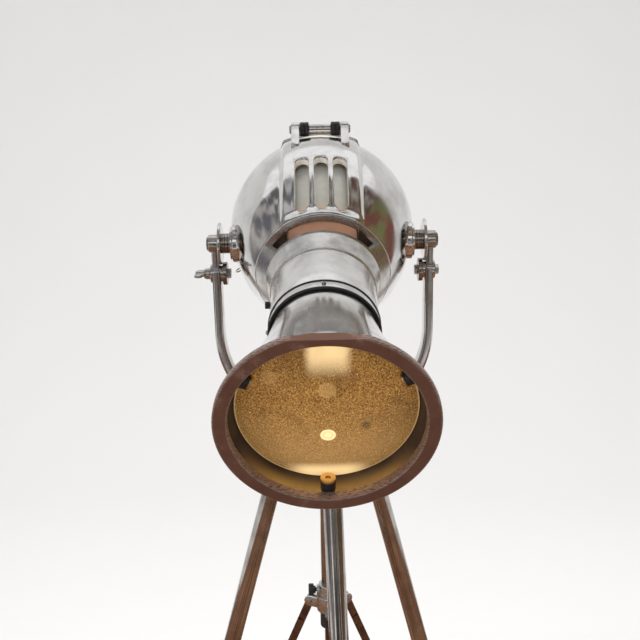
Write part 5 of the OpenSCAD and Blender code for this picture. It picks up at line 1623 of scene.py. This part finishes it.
def flat_bar():
    """A strut's plate, in (width, length, thickness). Each face is a band of quads
    between the plate's outline and a ladder of points round its two holes."""
    bevel = 0.6
    low = -strut_len - STRUT_SLOT
    outline = round_ended(low, 0.0, STRUT_W / 2)
    inset = round_ended(low, 0.0, STRUT_W / 2 - bevel)
    half = STRUT_T / 2
    rings = [(inset, -half), (outline, bevel - half), (outline, half - bevel), (inset, half)]
    side = np.stack([np.column_stack([line, np.full(len(line), z)]) for line, z in rings])
    parts = [sheet_part(side, wrap_columns=True)]
    pin_hole = arc((0, 0), STRUT_PIN_R + RUN, 0, 360, 49)[:-1]
    reach = STRUT_PIN_R + STRUT_PLAY
    slot = round_ended(low, -strut_len + STRUT_SLOT, reach, 24)
    middle = -40.0
    top = np.vstack([arc((0, 0), STRUT_W / 2 - bevel, 0, 180, 24), [(bevel - STRUT_W / 2, middle)],
                     [(STRUT_W / 2 - bevel, middle)]])
    end = np.vstack([arc((0, low), STRUT_W / 2 - bevel, 180, 360, 24), [(STRUT_W / 2 - bevel, middle)],
                     [(bevel - STRUT_W / 2, middle)]])
    for outer_line, hole in ((top, pin_hole), (end, slot)):
        turns = np.linspace(0, 1, 97)[:-1]
        outer_even = along_line(outer_line, turns)
        hole_even = along_line(hole, turns)
        first = int(np.argmin(np.linalg.norm(hole_even - outer_even[0], axis=1)))
        hole_even = np.roll(hole_even, -first, 0)
        for z in (-half, half):
            band = np.stack([np.column_stack([line, np.full(96, z)]) for line in (outer_even, hole_even)])
            parts.append(sheet_part(band, wrap_columns=True))
        wall = np.stack([np.column_stack([hole_even, np.full(96, z)]) for z in (-half, half)])
        parts.append(sheet_part(wall, wrap_columns=True))
    return parts


def along_line(line, shares):
    """Points at even shares of a closed outline's length."""
    closed = np.vstack([line, line[:1]])
    run = np.concatenate([[0], np.cumsum(np.linalg.norm(np.diff(closed, axis=0), axis=1))])
    at = shares * run[-1]
    return np.stack([np.interp(at, run, closed[:, 0]), np.interp(at, run, closed[:, 1])], -1)


def on_strut(i):
    """A strut's plate (width, length, thickness) to its place at rest."""
    c, s = math.cos(strut_lean), math.sin(strut_lean)

    def move(points):
        x, z, y = np.moveaxis(points, -1, 0)
        radial, upright = x * c - z * s + COLLAR_REACH, x * s + z * c + COLLAR_PIN_H
        return on_mast(turned_by(LEG_TURNS[i])(np.stack([radial, y, upright], -1)))
    return move


# The brown in these colours is a painted reflection of the wooden floor.
strut_metal_painted_floor_brown = metal("brown_steel", (0.26, 0.19, 0.15), (0.13, 0.08, 0.06), 0.22, 0.42, 0.2, 50.0)
for i in range(3):
    piece("strut_%d_flat_bar" % (i + 1), flat_bar(),
          strut_metal_painted_floor_brown, "strut_%d" % (i + 1), "dark_steel", "strut_%d" % (i + 1), at=[on_strut(i)])


# ---------------------------------------------------------------- heat baffle
# A pale painted sheet under the slots, rolled to the shell's shape. The lamp's
# warm light reaches its front end.
BAFFLE_DROP = 11.0
BAFFLE_T = 1.5
baffle_x = np.linspace(-44, 44, 45)[None, :]
baffle_s = np.linspace(-62, 79, 48)[:, None]


def baffle_skin(drop):
    """The house's surface sunk by drop: z = sqrt(r(s)^2 - x^2), cut back at the joint."""
    z = np.sqrt(house_r(baffle_s, -drop) ** 2 - baffle_x ** 2)
    y = np.minimum(-baffle_s + 0 * baffle_x, SPLIT_BACK + z * SPLIT_LEAN - 1)
    return np.stack([baffle_x + 0 * z, y, z], -1)


baffle_out, baffle_in = baffle_skin(BAFFLE_DROP), baffle_skin(BAFFLE_DROP + BAFFLE_T)
baffle_edge = [sheet_part(np.stack([a, b])) for a, b in (
    (baffle_out[0], baffle_in[0]), (baffle_out[-1], baffle_in[-1]),
    (baffle_out[:, 0], baffle_in[:, 0]), (baffle_out[:, -1], baffle_in[:, -1]))]
PILLAR_X = 37
pillars = [placed(washer_ring(0.05, 3.0, 0, BAFFLE_DROP - SHELL_WALL + 1, 0.2, 24),
                  shifted(side * PILLAR_X, -s,
                          math.sqrt(float(house_r(s, -BAFFLE_DROP)) ** 2 - PILLAR_X ** 2) - 0.5))
           for side in (-1, 1) for s in (18, 64)]
baffle_finish = Finish("pale_baffle")
_, baffle_along, _ = baffle_finish.head()
dust = baffle_finish.noise(90.0, 4.0)
baffle_look = baffle_finish.surface(
    Base_Color=blend(baffle_along.step(58, 76), blend(dust, (0.62, 0.62, 0.57), (0.5, 0.5, 0.46)),
                     (0.6, 0.4, 0.25)),
    Emission_Color=blend(baffle_along.step(60, 78) * 0.35, (0, 0, 0), (0.8, 0.35, 0.1)),
    Emission_Strength=1.0, Roughness=0.6, Metallic=dust.step(0, 1, 0.2, 0.3))
piece("heat_baffle_sheet", [sheet_part(baffle_out), sheet_part(baffle_in), *baffle_edge, *pillars],
      baffle_look, "head", "satin_aluminium", "heat_baffle", at=[in_head])


# ---------------------------------------------------------------- dome hinge
# A steel pin with two domed heads runs through the lugs, with a sleeve between.
pin_half = LUG_OUTER + LUG_W
to_hinge = (along_x, shifted(0, *HINGE), in_head)
PIN_HEAD_R, PIN_HEAD_T = HINGE_PIN_R + 1.8, 2.4
pin_end = placed(rod(PIN_HEAD_R, pin_half, pin_half + PIN_HEAD_T, (0, 0.2, 1.6, 0), steps=8),
                 along_x, shifted(0, *HINGE))
piece("hinge_pin_steel",
      [placed(rod(HINGE_PIN_R, -pin_half, pin_half), along_x, shifted(0, *HINGE)), *both_sides(pin_end)],
      zinc_metal, "head", "satin_aluminium", "hinge_pin", at=[in_head])
spacer_half = LUG_INNER - 0.2
spacer_profile = np.array([
    (HINGE_PIN_R + RUN, -spacer_half), (SPACER_R - 0.6, -spacer_half), (SPACER_R, 0.6 - spacer_half),
    (SPACER_R, -4.5), (SPACER_R - 0.7, -4), (SPACER_R, -3.5), (SPACER_R, 3.5), (SPACER_R - 0.7, 4),
    (SPACER_R, 4.5), (SPACER_R, spacer_half - 0.6), (SPACER_R - 0.6, spacer_half),
    (HINGE_PIN_R + RUN, spacer_half)])
piece("hinge_spacer_sleeve", [turned(spacer_profile, 72)],
      polished_ring_metal, "rear_dome", "satin_aluminium", "hinge_spacer", at=to_hinge, crease=30)


# ---------------------------------------------------------------- small screws
# Slotted cheese heads in the clamp band, on top and at its left.
def slotted_screw(radius, height):
    """Screw head along z as a grid in polar rings: the slot is a dip across its top."""
    share = np.array([0.02, 0.2, 0.4, 0.6, 0.8, 0.9, 0.97, 1, 1, 1])[:, None]
    t = np.linspace(0, 2 * math.pi, 72, endpoint=False)
    x, y = radius * share * np.cos(t), radius * share * np.sin(t)
    dome = np.array([1, 0.99, 0.97, 0.93, 0.86, 0.8, 0.7, 0.6, 0.2, 0.0])[:, None] * height
    inside = eased(0.24 * radius - np.abs(y), -0.08 * radius, 0.08 * radius)
    z = dome - inside * 0.35 * height * (dome > 0.5 * height)
    return sheet_part(np.stack([x, y, z + 0 * x], -1), wrap_columns=True)


band_middle = (BAND_START + BAND_END) / 2
piece("band_slotted_screws",
      [placed(slotted_screw(2.6, 3.6), outwards(a, band_middle, BAND_R - 0.4)) for a in (90, 180)],
      zinc_metal, "head", "zinc", "band_screws", at=[in_head])


# ---------------------------------------------------------------- focus knob
# A knurled black knob on the screw that runs in the neck's slot.
knurl_t = np.linspace(0, 2 * math.pi, 192, endpoint=False)
KNOB_R, KNOB_H = 4.5, 6.0
knurl_z = NECK_R - SLEEVE_R + SLEEVE_WALL + 0.6 + KNOB_H * np.array([0, 0, 0.06, 0.12, 0.88, 0.94, 1, 1])
knurl_share = np.array([0.01, 0.88, 0.97, 1, 1, 0.97, 0.9, 0.01])[:, None]
knurl_r = (KNOB_R - 0.2 * (1 + np.cos(24 * knurl_t)))[None, :] * knurl_share
knurled = sheet_part(round_grid(knurl_r, knurl_t, knurl_z[:, None]), wrap_columns=True)
focus_screw = rod(2.5, 0, 8, count=32)
piece("focus_knob_moulding", (knurled, focus_screw),
      black_plastic_look, "focus_knob", "black_plastic", "focus_knob",
      at=[outwards(180, FOCUS_S, SLEEVE_R - SLEEVE_WALL), in_head])


# ---------------------------------------------------------------- lamp and holder
# A frosted tubular lamp in a white porcelain holder, on a bracket over the tray
# that closes the shell from below. A cable gland hangs under the tray.
TRAY_S = 55.0
TRAY_Z = -113.0
LAMP_S = -20.0
GLAND_S = 62.0


def upright(s, z):
    """The moves that stand a turned part in the head, at s along the beam and height z."""
    return shifted(0, -s, z), in_head


TRAY_R, TRAY_T = 29, 5
CUP_R, CUP_TOP = 22.5, 19
tray_profile = rounded([(0.05, 0), (TRAY_R, 0), (TRAY_R, TRAY_T), (CUP_R, TRAY_T), (CUP_R, CUP_TOP),
                        (0.05, CUP_TOP)], (0, 1.2, 1.2, 0.4, 0.8, 0))
piece("lamp_tray_casting", [turned(tray_profile, 96, closed=False)],
      polished_ring_metal, "head", "polished_aluminium", "lamp_tray", at=upright(TRAY_S, TRAY_Z - 8))
gland_profile = rounded([(4.2, -3), (4.2, -18), (8, -18), (8, -6), (4.2, -6)], (0, 0.5, 1.0, 0, 0))
piece("cable_gland_moulding",
      [hexagon(11, -6, 0, 4.2), turned(gland_profile, 48, closed=False)],
      black_plastic_look, "head", "black_plastic", "cable_gland", at=upright(GLAND_S, TRAY_Z - 8))
bracket_line = [(-TRAY_S - 8, TRAY_Z + 11), (16 - LAMP_S, TRAY_Z + 11), (16 - LAMP_S, TRAY_Z + 14),
                (-TRAY_S - 8, TRAY_Z + 14)]
piece("lamp_bracket_strip", [prism(bracket_line, -9, 9, 0.4)],
      zinc_metal, "head", "zinc", "lamp_bracket", at=[in_head])
porcelain = Finish("white_porcelain")
glaze = porcelain.noise(50.0)
porcelain_look = porcelain.surface(
    Base_Color=blend(glaze, (0.8, 0.79, 0.76), (0.72, 0.7, 0.66)), Roughness=0.25)
holder_profile = rounded([(0.05, 0), (15, 0), (15, 18), (18, 18), (18, 48), (11, 48), (11, 40), (0.05, 40)],
                         (0, 1, 1, 1.5, 1.5, 1, 1, 0))
piece("lamp_holder_porcelain", [turned(holder_profile, 72, closed=False)],
      porcelain_look, "head", "reflector_white", "lamp_holder", at=upright(LAMP_S, TRAY_Z + 14))
bulb_profile = np.vstack([rounded([(0.05, 0), (12, 0), (12, 14), (15, 17), (15, 60)], (0, 1, 1, 3, 0)),
                          arc((0, 66), 15, 0, 89.8, 20)])
frosted = Finish("frosted_lamp")
frost = frosted.noise(70.0)
frosted_look = frosted.surface(Base_Color=blend(frost, (0.9, 0.85, 0.75), (0.85, 0.78, 0.66)), Roughness=0.4,
                               Emission_Color=(1.0, 0.62, 0.28), Emission_Strength=0.6)
piece("frosted_tubular_lamp", [turned(bulb_profile, 64, closed=False)],
      frosted_look, "head", "lamp_glass", "lamp", at=upright(LAMP_S, TRAY_Z + 62))


# ---------------------------------------------------------------- reflector
# A white enamelled bowl behind the lamp, on a stem from the dome's back.
REFLECTOR_R = 92.0
bowl_t = np.linspace(math.asin(10 / REFLECTOR_R), math.pi / 2 - 0.002, 48)
bowl_out = np.stack([REFLECTOR_R * np.cos(bowl_t), REFLECTOR_R * np.sin(bowl_t)], -1)
bowl_inside = REFLECTOR_R - 1.5
bowl_in = np.stack([bowl_inside * np.cos(bowl_t), bowl_inside * np.sin(bowl_t)], -1)[::-1]
stem_profile = rounded([(0.05, REFLECTOR_R - 1), (12, REFLECTOR_R - 1), (12, DOME_R - SHELL_WALL - 0.8),
                        (0.05, DOME_R - SHELL_WALL - 0.4)], 0)


def backwards(points):
    """A turned shape (axis z) to the dome's middle, with the axis pointing back."""
    return np.stack([points[..., 0], DOME_BACK + points[..., 2], points[..., 1]], -1)


enamel = Finish("white_enamel")
enamel_age = enamel.noise(30.0, 4.0)
enamel_look = enamel.surface(
    Base_Color=blend(enamel_age, (0.82, 0.8, 0.74), (0.72, 0.68, 0.6)), Roughness=0.3)
piece("reflector_bowl",
      [turned(np.vstack([bowl_out, bowl_in]), 120), turned(stem_profile, 48, closed=False)],
      enamel_look, "rear_dome", "reflector_white", "reflector", at=[backwards, in_head])


# ---------------------------------------------------------------- clip and pull ring
# A spring clip under the joint holds the dome shut. A ring at its left opens it.
def clip_box(y0, y1, z0, z1, bevel=0.35):
    """A bar 18 mm wide between y0 and y1 and between z0 and z1 above the clip's seat."""
    line = [(y0, z0), (y1, z0), (y1, z1), (y0, z1)]
    return placed(prism(line, -9, 9, bevel), shifted(0, 0, -DOME_R - 2.7))


piece("dome_clip_spring", (clip_box(-18, 26, 0, 1.5), clip_box(-18, -16.5, 0, 5), clip_box(6, 26, 0, 5)),
      zinc_metal, "rear_dome", "dark_steel", "dome_clip", at=[in_head])
RING_TURN = math.radians(155)
ring_t = np.linspace(0, 2 * math.pi, 24, endpoint=False)
RING_MID_R, WIRE_R = 4, 1.1
pull_profile = np.stack([RING_MID_R + WIRE_R * np.cos(ring_t), WIRE_R * np.sin(ring_t)], -1)
stud = rod(2.4, -1.5, 2.4, (0, 0, 0.8, 0), 32)


def at_ring(points):
    """Ring's frame (x outwards from the dome) to the head: turned about the y axis."""
    c, s = math.cos(RING_TURN), math.sin(RING_TURN)
    x, y, z = points[..., 0] + DOME_R, points[..., 1] + DOME_BACK - 12, points[..., 2]
    return np.stack([x * c + z * s, y, -x * s + z * c], -1)


piece("pull_ring_wire",
      [placed(turned(pull_profile, 72), shifted(RING_MID_R + 1.6, 0, 0)), placed(stud, along_x)],
      polished_ring_metal, "rear_dome", "satin_aluminium", "pull_ring", at=[at_ring, in_head])
